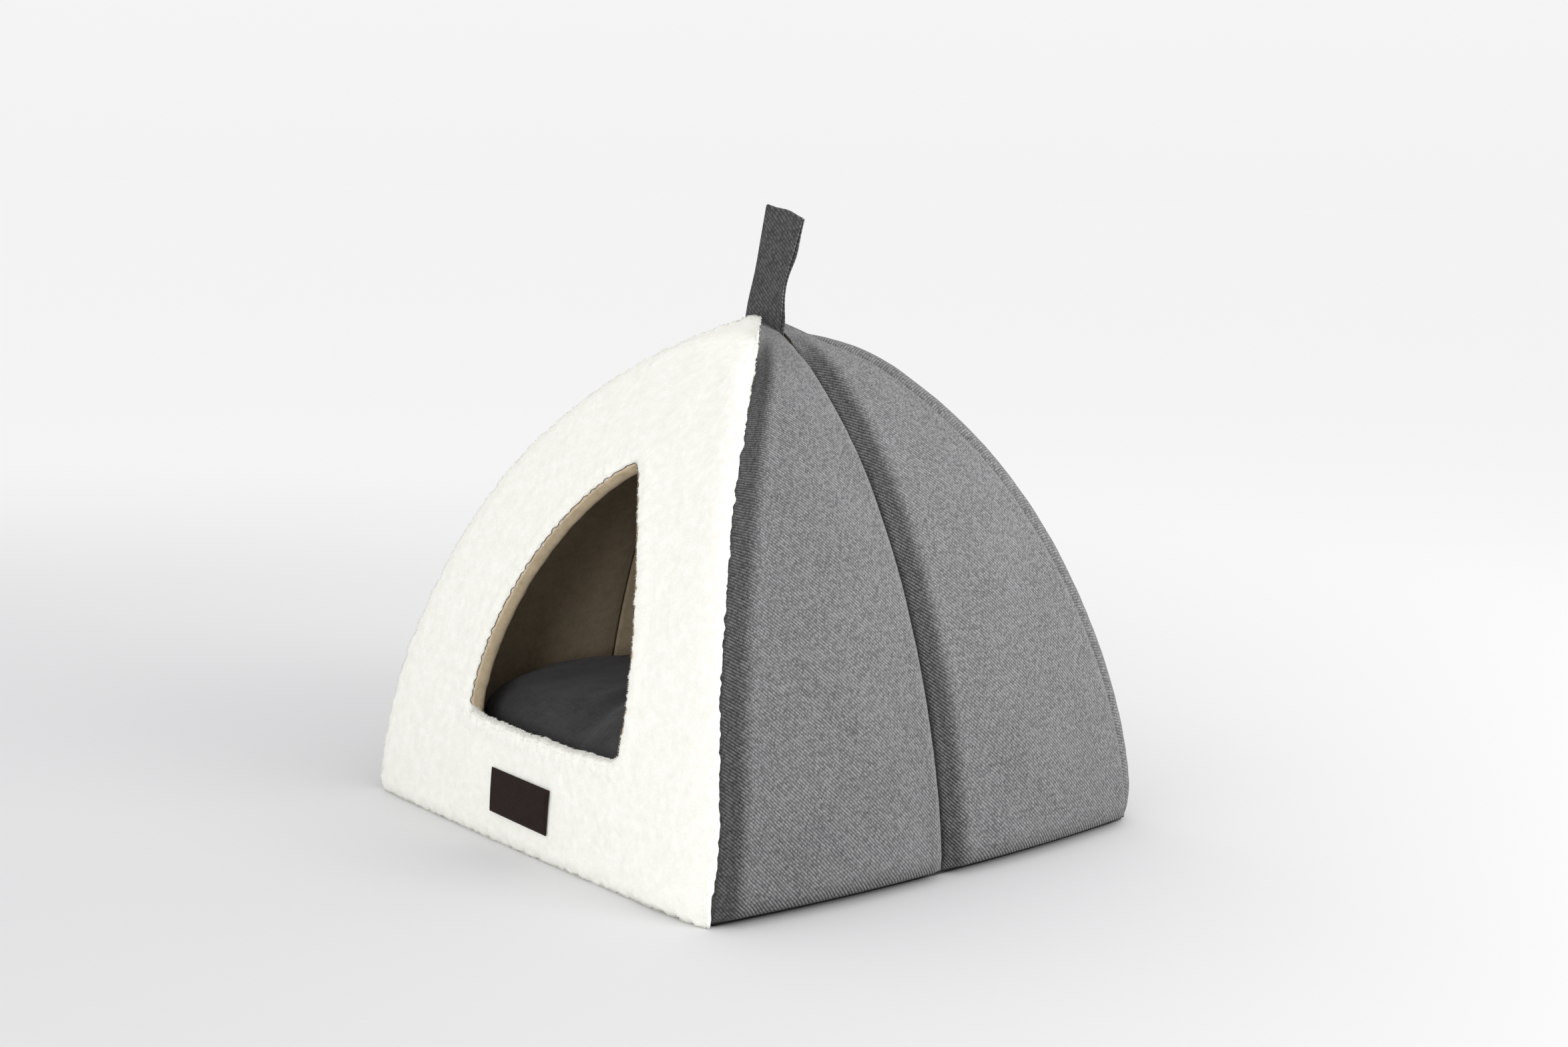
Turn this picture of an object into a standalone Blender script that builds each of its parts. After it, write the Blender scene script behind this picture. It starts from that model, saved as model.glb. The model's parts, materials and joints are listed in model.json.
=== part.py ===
"""Padded pyramid pet cave, built as it is sewn.

Four cushioned walls lean in along curved seams to a blunt apex. The front is one fleece panel
with an arched doorway, the side walls are two woven gores each, and the rear is one woven panel.
Each panel has its own lining inside. A stiffened base, a loose cushion, a strap loop sewn into
the top seam and a bare patch under the doorway complete it.

Metres, +Z up, the front faces -Y, the origin is the middle of the base on the floor.
"""

import math
from collections import namedtuple

import bmesh
import bpy
import numpy as np

# Corner seams: each runs where a wall's half width and its distance from the middle are equal.
HALF_BASE = 0.200  # half the side of the square at the floor
APEX_Z = 0.372  # where the four seams would meet
LEAN_POWER = 1.91  # how gently the walls start to lean in
CLOSE_POWER = 0.90  # how bluntly they close at the top
SHOULDER = 0.485  # fullness of the shoulder below the apex
TIP_HALF = 0.004  # half width at which the panels end, round the strap
INNER_TIP_HALF = 0.010  # the same for their inner sides and the lining

# Padding: a panel swells between its seams and is pinched flat at them.
GAP = 0.0003  # clearance between pieces that touch
SEAM_THICK = 0.0020  # a panel at its seams
PUFF_IN = 0.0035  # swell towards the inside
LINING = 0.0015  # thickness of the woven lining
MITRE = GAP / math.sqrt(2)  # set-back of a panel's edge from the corner's diagonal
TIP_FLAT = 0.024  # half width at which a panel has no swell left, by the strap
TIP_FADE = 0.048  # further width over which the swell comes in

# Heights of the panels' feet
BASE_RIM = 0.004  # thickness of the base at its seam
WALL_FOOT = BASE_RIM + GAP
FLEECE_FOOT = 0.001  # the fleece hangs over the base's rim

# Doorway: a pointed arch, a little off the middle as the sewn one is
DOOR_HALF = 0.090
DOOR_SILL = 0.0865
DOOR_SPRING = 0.098  # where the sides start to close
DOOR_TOP = 0.270
DOOR_LEAN_POWER = 1.75
DOOR_CLOSE_POWER = 0.79
DOOR_MIDDLE = 0.006  # X of its middle
DOOR_TIP_LEAN = 0.008  # how far its tip leans past the middle
DOOR_TIP_POWER = 8
DOOR_SILL_SAG = 0.002
DOOR_CORNER = 0.009  # radius of its lower corners
DOOR_ROUND = 0.008  # width of the fleece's rounding at the doorway
DOOR_CORNER_STEPS = 2

# Strap loop
STRAP_WIDE = 0.041
STRAP_PLY = 0.0013
STRAP_LEAN = math.radians(13.0)  # the strap leans to its right as seen from the front
STRAP_SLOT = 0.0022  # half width of the slot in the top seam
SLOT_FADE = 0.006  # length over which the slot closes
STRAP_ROWS = 9
FOLD_TURNS = (30, 60, 90, 120, 150)  # degrees round the fold on top

# Patch
PATCH_THICK = 0.0014
PATCH_LIFT = 0.0005  # clearance over the fleece's backing
PATCH_ROWS = 4
PATCH_COLUMNS = 8

# Base and cushion
CUSHION_HALF = 0.182
CUSHION_SQUARE = 2.9  # 2 is round, higher is squarer
CUSHION_DRAW = 0.012  # how far its sides are drawn in, as a share

# Mesh steps
WALL_ROWS = 14
GORE_COLUMNS = 8
PANEL_COLUMNS = 14
SILL_STEPS = 12
TIP_STEPS = 2
BASE_STEPS = 8

# turns: quarter turns from the front. bow: how far the wall's middle stands out at the floor.
# puff: swell towards the outside. roll, foot_roll: widths of the rounding at seams and foot.
Wall = namedtuple("Wall", "turns bow puff roll foot_roll")
WALLS = {
    "front": Wall(0, 0.0040, 0.0068, 0.022, 0.010),
    "right": Wall(1, 0.0105, 0.0085, 0.022, 0.016),
    "back": Wall(2, 0.0010, 0.0140, 0.015, 0.025),
    "left": Wall(3, 0.0105, 0.0085, 0.022, 0.016),
}

# layer of a wall: its depth at the seams, along the wall's outward normal
LAYERS = {
    "face": 0.0,
    "back": -SEAM_THICK,
    "lining_back": -SEAM_THICK - GAP,
    "lining_face": -SEAM_THICK - GAP - LINING,
}

# how far from the middle the strap's slot reaches in each side wall's seam
SLOT_REACH = {"right": 0.035, "left": 0.022}

# Fleece at the doorway's edge: share of the panel's thickness, distance from the doorway's line
DOOR_EDGE = [
    (0.93, 0.0030),
    (0.75, 0.0006),
    (0.25, 0.0000),
    (0.06, 0.0015),
    (0.00, 0.0050),
]
# Lining turned out round that edge: its face, its lip, then its hidden side
DOOR_LINING = [
    (-0.155, 0.0050),
    (-0.060, 0.0002),
    (0.25, -0.0019),
    (0.75, -0.0019),
    (0.87, -0.0012),
    (0.80, -0.0004),
    (0.25, -0.0004),
    (0.034, 0.0012),
    (-0.026, 0.0050),
]
# rings between the doorway and the panel's outline, as shares of the way
RINGS = [0.0, 0.20, 0.45, 0.74, 0.92, 1.0]

# strap: height, X of its middle, twist in degrees, gap between its plies
STRAP_SECTIONS = [
    (0.357, 0.0020, 0.0, 0.0004),
    (0.375, 0.0048, 2.0, 0.0006),
    (0.400, 0.0098, 8.0, 0.0008),
    (0.425, 0.0160, 3.5, 0.0016),
    (0.4465, 0.0220, 0.0, 0.0016),
]

# patch corner: X, height
PATCH_CORNERS = {
    "top_left": (-0.0403, 0.0525),
    "top_right": (0.0306, 0.0513),
    "bottom_left": (-0.0377, 0.0223),
    "bottom_right": (0.0320, 0.0207),
}

# base, from the floor up: distance in from the seams, the same at the front, height
BASE_SECTIONS = [
    (0.0030, 0.0050, 0.0),
    (0.0015, 0.0040, 0.0012),
    (0.0015, 0.0040, BASE_RIM),
    (0.0110, 0.0110, BASE_RIM),
    (0.0120, 0.0120, 0.0090),
    (0.0150, 0.0150, 0.0120),
]

# cushion: share of its half width, height
CUSHION_SECTIONS = [
    (0.85, 0.0123),
    (0.93, 0.0180),
    (0.98, 0.0290),
    (1.00, 0.0440),
    (1.00, 0.0570),
    (0.965, 0.0700),
    (0.90, 0.0790),
    (0.79, 0.0850),
    (0.60, 0.0885),
    (0.33, 0.0903),
]
CUSHION_CROWN = 0.0910
CUSHION_SIDES = 32

# material: colour, roughness
MATERIALS = {
    "fleece": ((0.92, 0.91, 0.86), 0.95),
    "twill": ((0.21, 0.21, 0.21), 0.90),
    "strap_twill": ((0.08, 0.08, 0.08), 0.90),
    "lining": ((0.42, 0.34, 0.25), 0.85),
    "base_cloth": ((0.012, 0.012, 0.014), 0.85),
    "cushion_cloth": ((0.035, 0.035, 0.038), 0.92),
    "patch_leather": ((0.032, 0.020, 0.017), 0.55),
}


def clear_scene():
    for obj in list(bpy.data.objects):
        bpy.data.objects.remove(obj, do_unlink=True)


def material(name):
    """The named cloth, made once."""
    found = bpy.data.materials.get(name)
    if found:
        return found
    colour, roughness = MATERIALS[name]
    made = bpy.data.materials.new(name)
    made.use_nodes = True
    shader = made.node_tree.nodes["Principled BSDF"]
    shader.inputs["Base Color"].default_value = (*colour, 1.0)
    shader.inputs["Roughness"].default_value = roughness
    shader.inputs["Metallic"].default_value = 0.0
    return made


def add_solid(name, points, triangles, cloth):
    """One closed, outward-facing object from points and triangles."""
    mesh = bpy.data.meshes.new(name)
    mesh.from_pydata([tuple(map(float, p)) for p in points], [], triangles)
    shaped = bmesh.new()
    shaped.from_mesh(mesh)
    bmesh.ops.recalc_face_normals(shaped, faces=shaped.faces)
    shaped.to_mesh(mesh)
    shaped.free()
    mesh.shade_smooth()
    mesh.set_sharp_from_angle(angle=math.radians(50))
    mesh.materials.append(material(cloth))
    obj = bpy.data.objects.new(name, mesh)
    bpy.context.scene.collection.objects.link(obj)
    return obj


def strip(first, second):
    """Triangles between two rows of point numbers, always split along the same diagonal."""
    made = []
    for i in range(len(first) - 1):
        a, b, c, d = first[i], first[i + 1], second[i + 1], second[i]
        made += [(a, b, c), (a, c, d)]
    return made


def shell(name, face, back, cloth):
    """A sheet or padded panel between two grids of points, closed round its four edges."""
    rows, columns = face.shape[:2]
    number = np.arange(rows * columns).reshape(rows, columns)
    under = number + rows * columns
    triangles = []
    for r in range(rows - 1):
        triangles += strip(number[r], number[r + 1])
        triangles += strip(under[r], under[r + 1])
    for line in (np.s_[0, :], np.s_[-1, :], np.s_[:, 0], np.s_[:, -1]):
        triangles += strip(number[line], under[line])
    points = np.concatenate([face.reshape(-1, 3), back.reshape(-1, 3)])
    return add_solid(name, points, [tuple(map(int, t)) for t in triangles], cloth)


def ringed(name, loops, cloth, closed_across, crown=None):
    """Closed loops joined in order: into a ring of cloth, or into a solid with two ends.

    crown is the height of the last end's middle, where that end isn't flat.
    """
    count = len(loops[0])
    numbers = np.arange(len(loops) * count).reshape(len(loops), count)
    wrapped = np.concatenate([numbers, numbers[:, :1]], axis=1)
    pairs = list(zip(wrapped[:-1], wrapped[1:]))
    if closed_across:
        pairs.append((wrapped[-1], wrapped[0]))
    triangles = [t for first, second in pairs for t in strip(first, second)]
    points = list(np.concatenate(loops))
    if not closed_across:
        for loop, ring, height in ((loops[0], numbers[0], None), (loops[-1], numbers[-1], crown)):
            middle = np.mean(loop, axis=0)
            if height is not None:
                middle[2] = height
            points.append(middle)
            triangles += [(ring[i - 1], ring[i], len(points) - 1) for i in range(count)]
    return add_solid(name, points, [tuple(map(int, t)) for t in triangles], cloth)


def seam_half(z):
    """Half the distance between two corner seams at height z."""
    t = np.clip(z / APEX_Z, 0.0, 1.0)
    return HALF_BASE * (1 - t**LEAN_POWER) ** CLOSE_POWER * (1 + SHOULDER * t**3)


def seam_height(half):
    """The height at which the seams are that far from the middle."""
    heights = np.linspace(0.0, APEX_Z, 2000)
    return float(np.interp(-half, -seam_half(heights), heights))


def lean(z):
    """The wall's outward normal at height z: its share across and its share up."""
    step = 1e-4
    slope = (seam_half(z + step) - seam_half(z - step)) / (2 * step)
    across = 1 / np.sqrt(1 + slope**2)
    return across, -slope * across


def outer_rise(distance, width):
    """The swell beside a seam outside: a quarter of an ellipse, full from width onwards."""
    return np.sqrt(1 - (1 - np.clip(distance / width, 0.0, 1.0)) ** 2)


def inner_rise(distance, width):
    """The same inside and towards the apex, where the padding rises more gently."""
    return np.sin(np.pi / 2 * np.clip(distance / width, 0.0, 1.0))


def turned(points, quarters):
    """Wall coordinates (along, outward, up) as X, Y, Z of that wall."""
    along, outward, up = np.moveaxis(np.asarray(points, float), -1, 0)
    x, y = along, -outward
    for _ in range(quarters):
        x, y = -y, x
    return np.stack([x, y, up], axis=-1)


def panel_points(wall, share, z, layer, foot=WALL_FOOT, from_middle=None):
    """Points of a wall's layer, in wall coordinates.

    share runs from -1 to 1 between the corner seams. from_middle is the distance to a middle
    seam, for the gores that have one.
    """
    shape = WALLS[wall]
    outside = layer == "face"
    rise = outer_rise if outside else inner_rise
    half = seam_half(z)
    across, up = lean(z)
    fullness = rise((1 - np.abs(share)) * half, shape.roll)
    fullness = fullness * rise(z - foot, shape.foot_roll)
    fullness = fullness * inner_rise(half - TIP_FLAT, TIP_FADE)
    if from_middle is not None:
        fullness = fullness * rise(from_middle, shape.roll)
    depth = LAYERS[layer] + (shape.puff if outside else -PUFF_IN) * fullness
    along = share * (half + LAYERS[layer] * across - MITRE)
    outward = half + shape.bow * (1 - z / APEX_Z) * (1 - share**2) + depth * across
    return np.stack([along, outward, z + depth * up], axis=-1)


def eased(count, low, high):
    """count + 1 values from low to high, closest together at both ends."""
    return low + (high - low) * (1 - np.cos(np.linspace(0, np.pi, count + 1))) / 2


def wall_heights(layer):
    tip = TIP_HALF if layer == "face" else INNER_TIP_HALF
    return eased(WALL_ROWS, WALL_FOOT, seam_height(tip))


def gore_layer(wall, side, layer):
    """One layer of a gore. side is -1 or 1: which half of the wall, in wall coordinates."""
    z, share = np.meshgrid(
        wall_heights(layer), eased(GORE_COLUMNS, 0.0, 1.0), indexing="ij"
    )
    half = seam_half(z)
    near_strap = np.clip((SLOT_REACH[wall] + SLOT_FADE - half) / SLOT_FADE, 0.0, 1.0)
    inset = GAP / 2 + (STRAP_SLOT - GAP / 2) * near_strap
    points = panel_points(wall, side * share, z, layer, from_middle=share * half)
    points[..., 0] += side * inset * (1 - share)
    return turned(points, WALLS[wall].turns)


def make_gores():
    """Two gores and their linings in each side wall."""
    for wall, front_side in (("right", -1), ("left", 1)):
        for place, side in (("front", front_side), ("back", -front_side)):
            layers = {layer: gore_layer(wall, side, layer) for layer in LAYERS}
            shell(f"side_{wall}_{place}", layers["face"], layers["back"], "twill")
            shell(
                f"lining_{wall}_{place}",
                layers["lining_back"],
                layers["lining_face"],
                "lining",
            )


def make_back():
    """The rear wall: one panel and its lining."""
    layers = {}
    for layer in LAYERS:
        z, share = np.meshgrid(
            wall_heights(layer), eased(PANEL_COLUMNS, -1.0, 1.0), indexing="ij"
        )
        points = panel_points("back", share, z, layer)
        layers[layer] = turned(points, WALLS["back"].turns)
    shell("back_panel", layers["face"], layers["back"], "twill")
    shell("lining_back", layers["lining_back"], layers["lining_face"], "lining")


def door_side(z):
    """Half width and middle of the doorway at height z."""
    t = np.clip((z - DOOR_SPRING) / (DOOR_TOP - DOOR_SPRING), 0.0, 1.0)
    half = DOOR_HALF * (1 - t**DOOR_LEAN_POWER) ** DOOR_CLOSE_POWER
    return half, DOOR_MIDDLE + DOOR_TIP_LEAN * t**DOOR_TIP_POWER


def doorway():
    """The doorway's line as points (X, height), from its lower left corner round to the left."""
    turn = np.radians(np.linspace(0, 90, 2 * DOOR_CORNER_STEPS + 1))
    arc = DOOR_CORNER * np.stack([1 - np.sin(turn), 1 - np.cos(turn)], axis=-1)
    sill_x = np.linspace(-1, 1, SILL_STEPS - 2 * DOOR_CORNER_STEPS + 1)
    flat = DOOR_HALF - DOOR_CORNER
    sill = [
        (DOOR_MIDDLE + x * flat, DOOR_SILL - DOOR_SILL_SAG * (1 - x * x))
        for x in sill_x
    ]
    right_corner = [(DOOR_MIDDLE + DOOR_HALF - a, DOOR_SILL + b) for a, b in arc[1:]]
    left_corner = [(DOOR_MIDDLE - DOOR_HALF + a, DOOR_SILL + b) for a, b in arc[1:]]
    heights = eased(WALL_ROWS - DOOR_CORNER_STEPS, DOOR_SILL + DOOR_CORNER, DOOR_TOP)
    # the lower half is evenly spaced, so that the sides have no crowded points there
    heights = (heights + np.linspace(heights[0], heights[-1], len(heights))) / 2
    sides = [(z, *door_side(z)) for z in heights[1:-1]]
    right = [(middle + half, z) for z, half, middle in sides]
    left = [(middle - half, z) for z, half, middle in sides]
    tip = [(DOOR_MIDDLE + DOOR_TIP_LEAN, DOOR_TOP)]
    left_up = left_corner[::-1][:DOOR_CORNER_STEPS]
    lower_left = left_corner[::-1][DOOR_CORNER_STEPS:]
    line = lower_left + sill + right_corner + right + tip + left[::-1] + left_up
    return np.array(line)


def panel_outline(foot, tip_half, count):
    """The front panel's outline as (share, height), with one point for each doorway point."""
    side = (count - SILL_STEPS - TIP_STEPS) // 2
    heights = eased(side, foot, seam_height(tip_half))
    hem = [(s, foot) for s in np.linspace(-1, 1, SILL_STEPS + 1)]
    right = [(1.0, z) for z in heights[1:]]
    tip = [(s, heights[-1]) for s in np.linspace(1, -1, TIP_STEPS + 1)[1:-1]]
    left = [(-1.0, z) for z in heights[::-1][:-1]]
    return np.array(hem + right + tip + left)


def outward_normals(line):
    """Unit normals of a closed line of (X, height) points that runs anticlockwise."""
    along = np.roll(line, -1, axis=0) - np.roll(line, 1, axis=0)
    normal = np.stack([along[:, 1], -along[:, 0]], axis=-1)
    return normal / np.linalg.norm(normal, axis=1, keepdims=True)


def front_loop(line, layer, foot):
    """A loop of the front wall through (share, height) points, on one layer."""
    return panel_points("front", line[:, 0], line[:, 1], layer, foot)


def door_loop(line, thickness_share, distance):
    """A loop beside the doorway, part of the way through the panel's thickness."""
    moved = line + distance * outward_normals(line)
    moved[:, 0] /= seam_half(moved[:, 1])
    face = front_loop(moved, "face", FLEECE_FOOT)
    back = front_loop(moved, "back", WALL_FOOT)
    return back + thickness_share * (face - back)


def front_rings(line, outline, layer, foot, shares):
    """Loops of one layer, from the doorway's rounding (0) to the panel's outline (1)."""
    start = line + DOOR_ROUND * outward_normals(line)
    start[:, 0] /= seam_half(start[:, 1])
    return [front_loop(start + share * (outline - start), layer, foot) for share in shares]


def make_front():
    """The fleece panel with its doorway, and the lining turned out round the doorway."""
    line = doorway()
    turns = WALLS["front"].turns
    outer_line = panel_outline(FLEECE_FOOT, TIP_HALF, len(line))
    inner_line = panel_outline(WALL_FOOT, INNER_TIP_HALF, len(line))
    face = front_rings(line, outer_line, "face", FLEECE_FOOT, RINGS)
    back = front_rings(line, inner_line, "back", WALL_FOOT, RINGS[1:])
    edge = [door_loop(line, *place) for place in DOOR_EDGE]
    loops = face[::-1] + edge + back
    ringed("front_panel", [turned(p, turns) for p in loops], "fleece", True)

    hidden = front_rings(line, inner_line, "lining_back", WALL_FOOT, RINGS[1:])
    shown = front_rings(line, inner_line, "lining_face", WALL_FOOT, RINGS[1:])
    edge = [door_loop(line, *place) for place in DOOR_LINING]
    loops = shown[::-1] + edge + hidden
    ringed("lining_front", [turned(p, turns) for p in loops], "lining", True)


def base_loop(inset, front_inset, z):
    """The base's outline at a height: the foot of the walls, drawn in from the seams."""
    share = np.linspace(-1, 1, BASE_STEPS + 1)[:-1]
    sides = []
    for shape in WALLS.values():
        outward = HALF_BASE + shape.bow * (1 - share**2)
        side = np.stack([share * HALF_BASE, outward, np.full(BASE_STEPS, z)], axis=-1)
        sides.append(turned(side, shape.turns))
    loop = np.concatenate(sides)
    loop[:, 0] *= 1 - inset / HALF_BASE
    loop[:, 1] *= 1 - np.where(loop[:, 1] < 0, front_inset, inset) / HALF_BASE
    return loop


def make_base():
    """The base: a flat square with a thin sewn rim and a stiffened middle."""
    loops = [base_loop(*section) for section in BASE_SECTIONS]
    ringed("base_pad", loops, "base_cloth", False)


def make_cushion():
    """The loose cushion: flat below, crowned above, its sides drawn in between its corners."""
    angles = np.linspace(0, 2 * np.pi, CUSHION_SIDES, endpoint=False)
    power = CUSHION_SQUARE
    reach = (np.abs(np.cos(angles)) ** power + np.abs(np.sin(angles)) ** power) ** (
        -1 / power
    )
    reach *= CUSHION_HALF * (1 - CUSHION_DRAW * (1 + np.cos(4 * angles)) / 2)
    loops = [
        np.stack(
            [
                share * reach * np.cos(angles),
                share * reach * np.sin(angles),
                np.full(CUSHION_SIDES, z),
            ],
            axis=-1,
        )
        for share, z in CUSHION_SECTIONS
    ]
    ringed("cushion", loops, "cushion_cloth", False, CUSHION_CROWN)


def strap_section(z):
    """The strap at a height: its middle, the direction of its width, and half its gap."""
    heights, middles, twists, gaps = np.array(STRAP_SECTIONS).T
    middle = np.array([np.interp(z, heights, middles), 0.0, z])
    twist = np.radians(np.interp(z, heights, twists))
    wide = np.array(
        [
            math.cos(STRAP_LEAN) * math.cos(twist),
            -math.sin(twist),
            -math.sin(STRAP_LEAN) * math.cos(twist),
        ]
    )
    return middle, wide, np.interp(z, heights, gaps) / 2


def make_strap():
    """One strap folded double, both ends in the top seam, its fold on top."""
    levels = np.linspace(STRAP_SECTIONS[0][0], STRAP_SECTIONS[-1][0], STRAP_ROWS)
    rising = np.array([math.sin(STRAP_LEAN), 0.0, math.cos(STRAP_LEAN)])
    stations = [(z, 0.0) for z in levels]
    stations += [(levels[-1], turn) for turn in np.radians(FOLD_TURNS)]
    stations += [(z, math.pi) for z in levels[::-1]]
    loops = []
    for z, turn in stations:
        middle, wide, half_gap = strap_section(z)
        facing = np.cross(wide, rising)
        facing /= np.linalg.norm(facing)
        away = math.cos(turn) * facing + math.sin(turn) * rising
        inner = middle + away * half_gap
        outer = middle + away * (half_gap + STRAP_PLY)
        side = wide * STRAP_WIDE / 2
        loops.append(np.array([inner - side, inner + side, outer + side, outer - side]))
    ringed("handle_strap", loops, "strap_twill", False)


def make_patch():
    """The bare patch, following the fleece under the doorway."""
    down, across = np.meshgrid(
        np.linspace(0, 1, PATCH_ROWS), np.linspace(0, 1, PATCH_COLUMNS), indexing="ij"
    )
    corner = {name: np.array(place) for name, place in PATCH_CORNERS.items()}
    top = corner["top_left"] + across[..., None] * (
        corner["top_right"] - corner["top_left"]
    )
    bottom = corner["bottom_left"] + across[..., None] * (
        corner["bottom_right"] - corner["bottom_left"]
    )
    place = top + down[..., None] * (bottom - top)
    x, z = place[..., 0], place[..., 1]
    surface = panel_points("front", x / seam_half(z), z, "face", FLEECE_FOOT)
    sides, up = lean(z)
    normal = np.stack([np.zeros_like(z), sides, up], axis=-1)
    under = surface + PATCH_LIFT * normal
    over = under + PATCH_THICK * normal
    turns = WALLS["front"].turns
    shell("label", turned(over, turns), turned(under, turns), "patch_leather")


def main():
    clear_scene()
    make_front()
    make_gores()
    make_back()
    make_base()
    make_cushion()
    make_strap()
    make_patch()


main()
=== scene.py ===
"""The looks of the padded pet cave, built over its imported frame.

Every piece of the frame is replaced by a finer one of the same form: woven walls, a fleece front
with pile, a turned-out lining, a base, a soft cushion, a strap loop and a bare patch.

Metres, +Z up, the front faces -Y, the origin is the middle of the base on the floor. A wall is
built in wall coordinates, seen from outside: along, to the right; outward; and up.
"""

import json
import math
from collections import namedtuple
from functools import partial

import bpy
import numpy as np
from mathutils import Matrix, Vector

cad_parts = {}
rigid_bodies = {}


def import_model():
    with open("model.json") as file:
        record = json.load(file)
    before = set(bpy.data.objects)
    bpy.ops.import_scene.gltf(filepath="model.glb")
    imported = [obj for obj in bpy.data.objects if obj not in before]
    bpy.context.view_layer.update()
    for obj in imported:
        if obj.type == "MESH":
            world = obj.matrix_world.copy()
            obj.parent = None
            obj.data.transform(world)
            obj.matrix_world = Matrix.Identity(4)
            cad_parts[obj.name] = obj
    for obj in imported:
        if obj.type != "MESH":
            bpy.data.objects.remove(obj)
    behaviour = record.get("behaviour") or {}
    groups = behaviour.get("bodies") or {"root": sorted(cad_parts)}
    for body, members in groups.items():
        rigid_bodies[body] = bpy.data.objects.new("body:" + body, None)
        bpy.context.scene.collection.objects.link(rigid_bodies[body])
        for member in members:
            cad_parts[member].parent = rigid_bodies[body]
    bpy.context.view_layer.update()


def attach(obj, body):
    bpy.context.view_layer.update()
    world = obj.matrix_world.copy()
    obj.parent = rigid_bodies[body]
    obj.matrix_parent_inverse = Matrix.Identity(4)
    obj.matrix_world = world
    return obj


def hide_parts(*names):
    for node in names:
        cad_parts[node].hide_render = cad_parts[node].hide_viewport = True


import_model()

# The same form as the frame's solids ------------------------------------------------------------
HALF_BASE = 0.200  # half the side of the square at the floor
APEX_Z = 0.372  # where the four corner seams would meet
LEAN_POWER = 1.91  # this and the next two give the seams' curve: see seam_half
CLOSE_POWER = 0.90
SHOULDER = 0.485
TIP_HALF = 0.004  # half width at which the panels end, round the strap
INNER_TIP_HALF = 0.010
GAP = 0.0003  # between two pieces
SEAM_THICK = 0.0020  # a wall's thickness at its seams
PUFF_IN = 0.0035  # how far the foam swells inwards
LINING = 0.0015  # the lining's thickness
MITRE = GAP / math.sqrt(2)
TIP_FLAT = 0.024  # half width at which the swell starts, seen from the apex
TIP_FADE = 0.048  # further half width over which it grows
BASE_RIM = 0.004  # the walls stand on the base's rim
WALL_FOOT = BASE_RIM + GAP
FLEECE_FOOT = 0.001  # the fleece reaches down over it

DOOR_HALF = 0.090  # half the doorway's width
DOOR_SILL = 0.0832
DOOR_SPRING = 0.098  # its sides lean in from here
DOOR_TOP = 0.270
DOOR_LEAN_POWER = 1.75  # this and the next one give the arch's curve: see door_side
DOOR_CLOSE_POWER = 0.79
DOOR_MIDDLE = 0.006  # the doorway sits this far off the middle
DOOR_TIP_LEAN = 0.008  # and its tip this much further
DOOR_TIP_POWER = 8
DOOR_SILL_SAG = 0.002
DOOR_CORNER = 0.009  # radius of its lower corners
DOOR_ROUND = 0.008  # the panel's edge rounds off over this width

STRAP_WIDE = 0.041
STRAP_PLY = 0.0013
STRAP_LEAN = math.radians(13.0)
STRAP_SLOT = 0.0022  # the gores end this far from the middle, to let the strap out
SLOT_REACH = {"right": 0.030, "left": 0.022}  # half widths at which that slot starts
SLOT_FADE = 0.006

# quarter turns from the front, bow between the seams, swell of the foam, width of its rolled edge
# at the corners, and at the foot
Wall = namedtuple("Wall", "turns bow puff roll foot_roll")
WALLS = {
    "front": Wall(0, 0.0040, 0.0068, 0.022, 0.010),
    "right": Wall(1, 0.0105, 0.0125, 0.023, 0.016),
    "back": Wall(2, 0.0010, 0.0150, 0.011, 0.025),
    "left": Wall(3, 0.0105, 0.0065, 0.023, 0.016),
}
LAYERS = {
    "face": 0.0,
    "back": -SEAM_THICK,
    "lining_back": -SEAM_THICK - GAP,
    "lining_face": -SEAM_THICK - GAP - LINING,
}
REAR_DRAW = 0.25  # share by which the right wall's foam is pressed flatter toward its rear corner

CUSHION_HALF = 0.182
CUSHION_SQUARE = 3.7  # 2 would be a circle
CUSHION_DRAW = 0.012  # share by which its sides are drawn in at their middles
CUSHION_CROWN = 0.0985


def grow(value, full):
    """0 up to a value of 0, and growing evenly to 1 at full."""
    return np.clip(value / full, 0.0, 1.0)


def bell(distance, reach):
    """1 at a distance of 0, and near 0 at twice the reach."""
    return np.exp(-((distance / reach) ** 2))


def stacked(*axes):
    """Points, from an array or a number for each of their coordinates."""
    return np.stack(np.broadcast_arrays(*axes), axis=-1)


def seam_half(z):
    """Half the distance between two corner seams at height z."""
    t = grow(z, APEX_Z)
    return HALF_BASE * (1 - t**LEAN_POWER) ** CLOSE_POWER * (1 + SHOULDER * t**3)


HEIGHTS = np.linspace(0.0, APEX_Z, 4000)
HALVES = seam_half(HEIGHTS)
SLOPE_LENGTHS = np.concatenate([[0.0], np.cumsum(np.hypot(np.diff(HEIGHTS), np.diff(HALVES)))])


def seam_height(half):
    """The height at which the seams are that far from the middle."""
    return float(np.interp(-half, -HALVES, HEIGHTS))


def slope_length(z):
    """The distance up the wall from the floor to height z."""
    return np.interp(z, HEIGHTS, SLOPE_LENGTHS)


def height_of(length):
    """The height of the place that lies that far up the wall."""
    return np.interp(length, SLOPE_LENGTHS, HEIGHTS)


def lean(z):
    """The wall's outward normal at height z: its share across and its share up."""
    step = 1e-4
    slope = (seam_half(z + step) - seam_half(z - step)) / (2 * step)
    across = 1 / np.sqrt(1 + slope**2)
    return across, -slope * across


def outer_rise(distance, width):
    return np.sqrt(1 - (1 - grow(distance, width)) ** 2)


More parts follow.
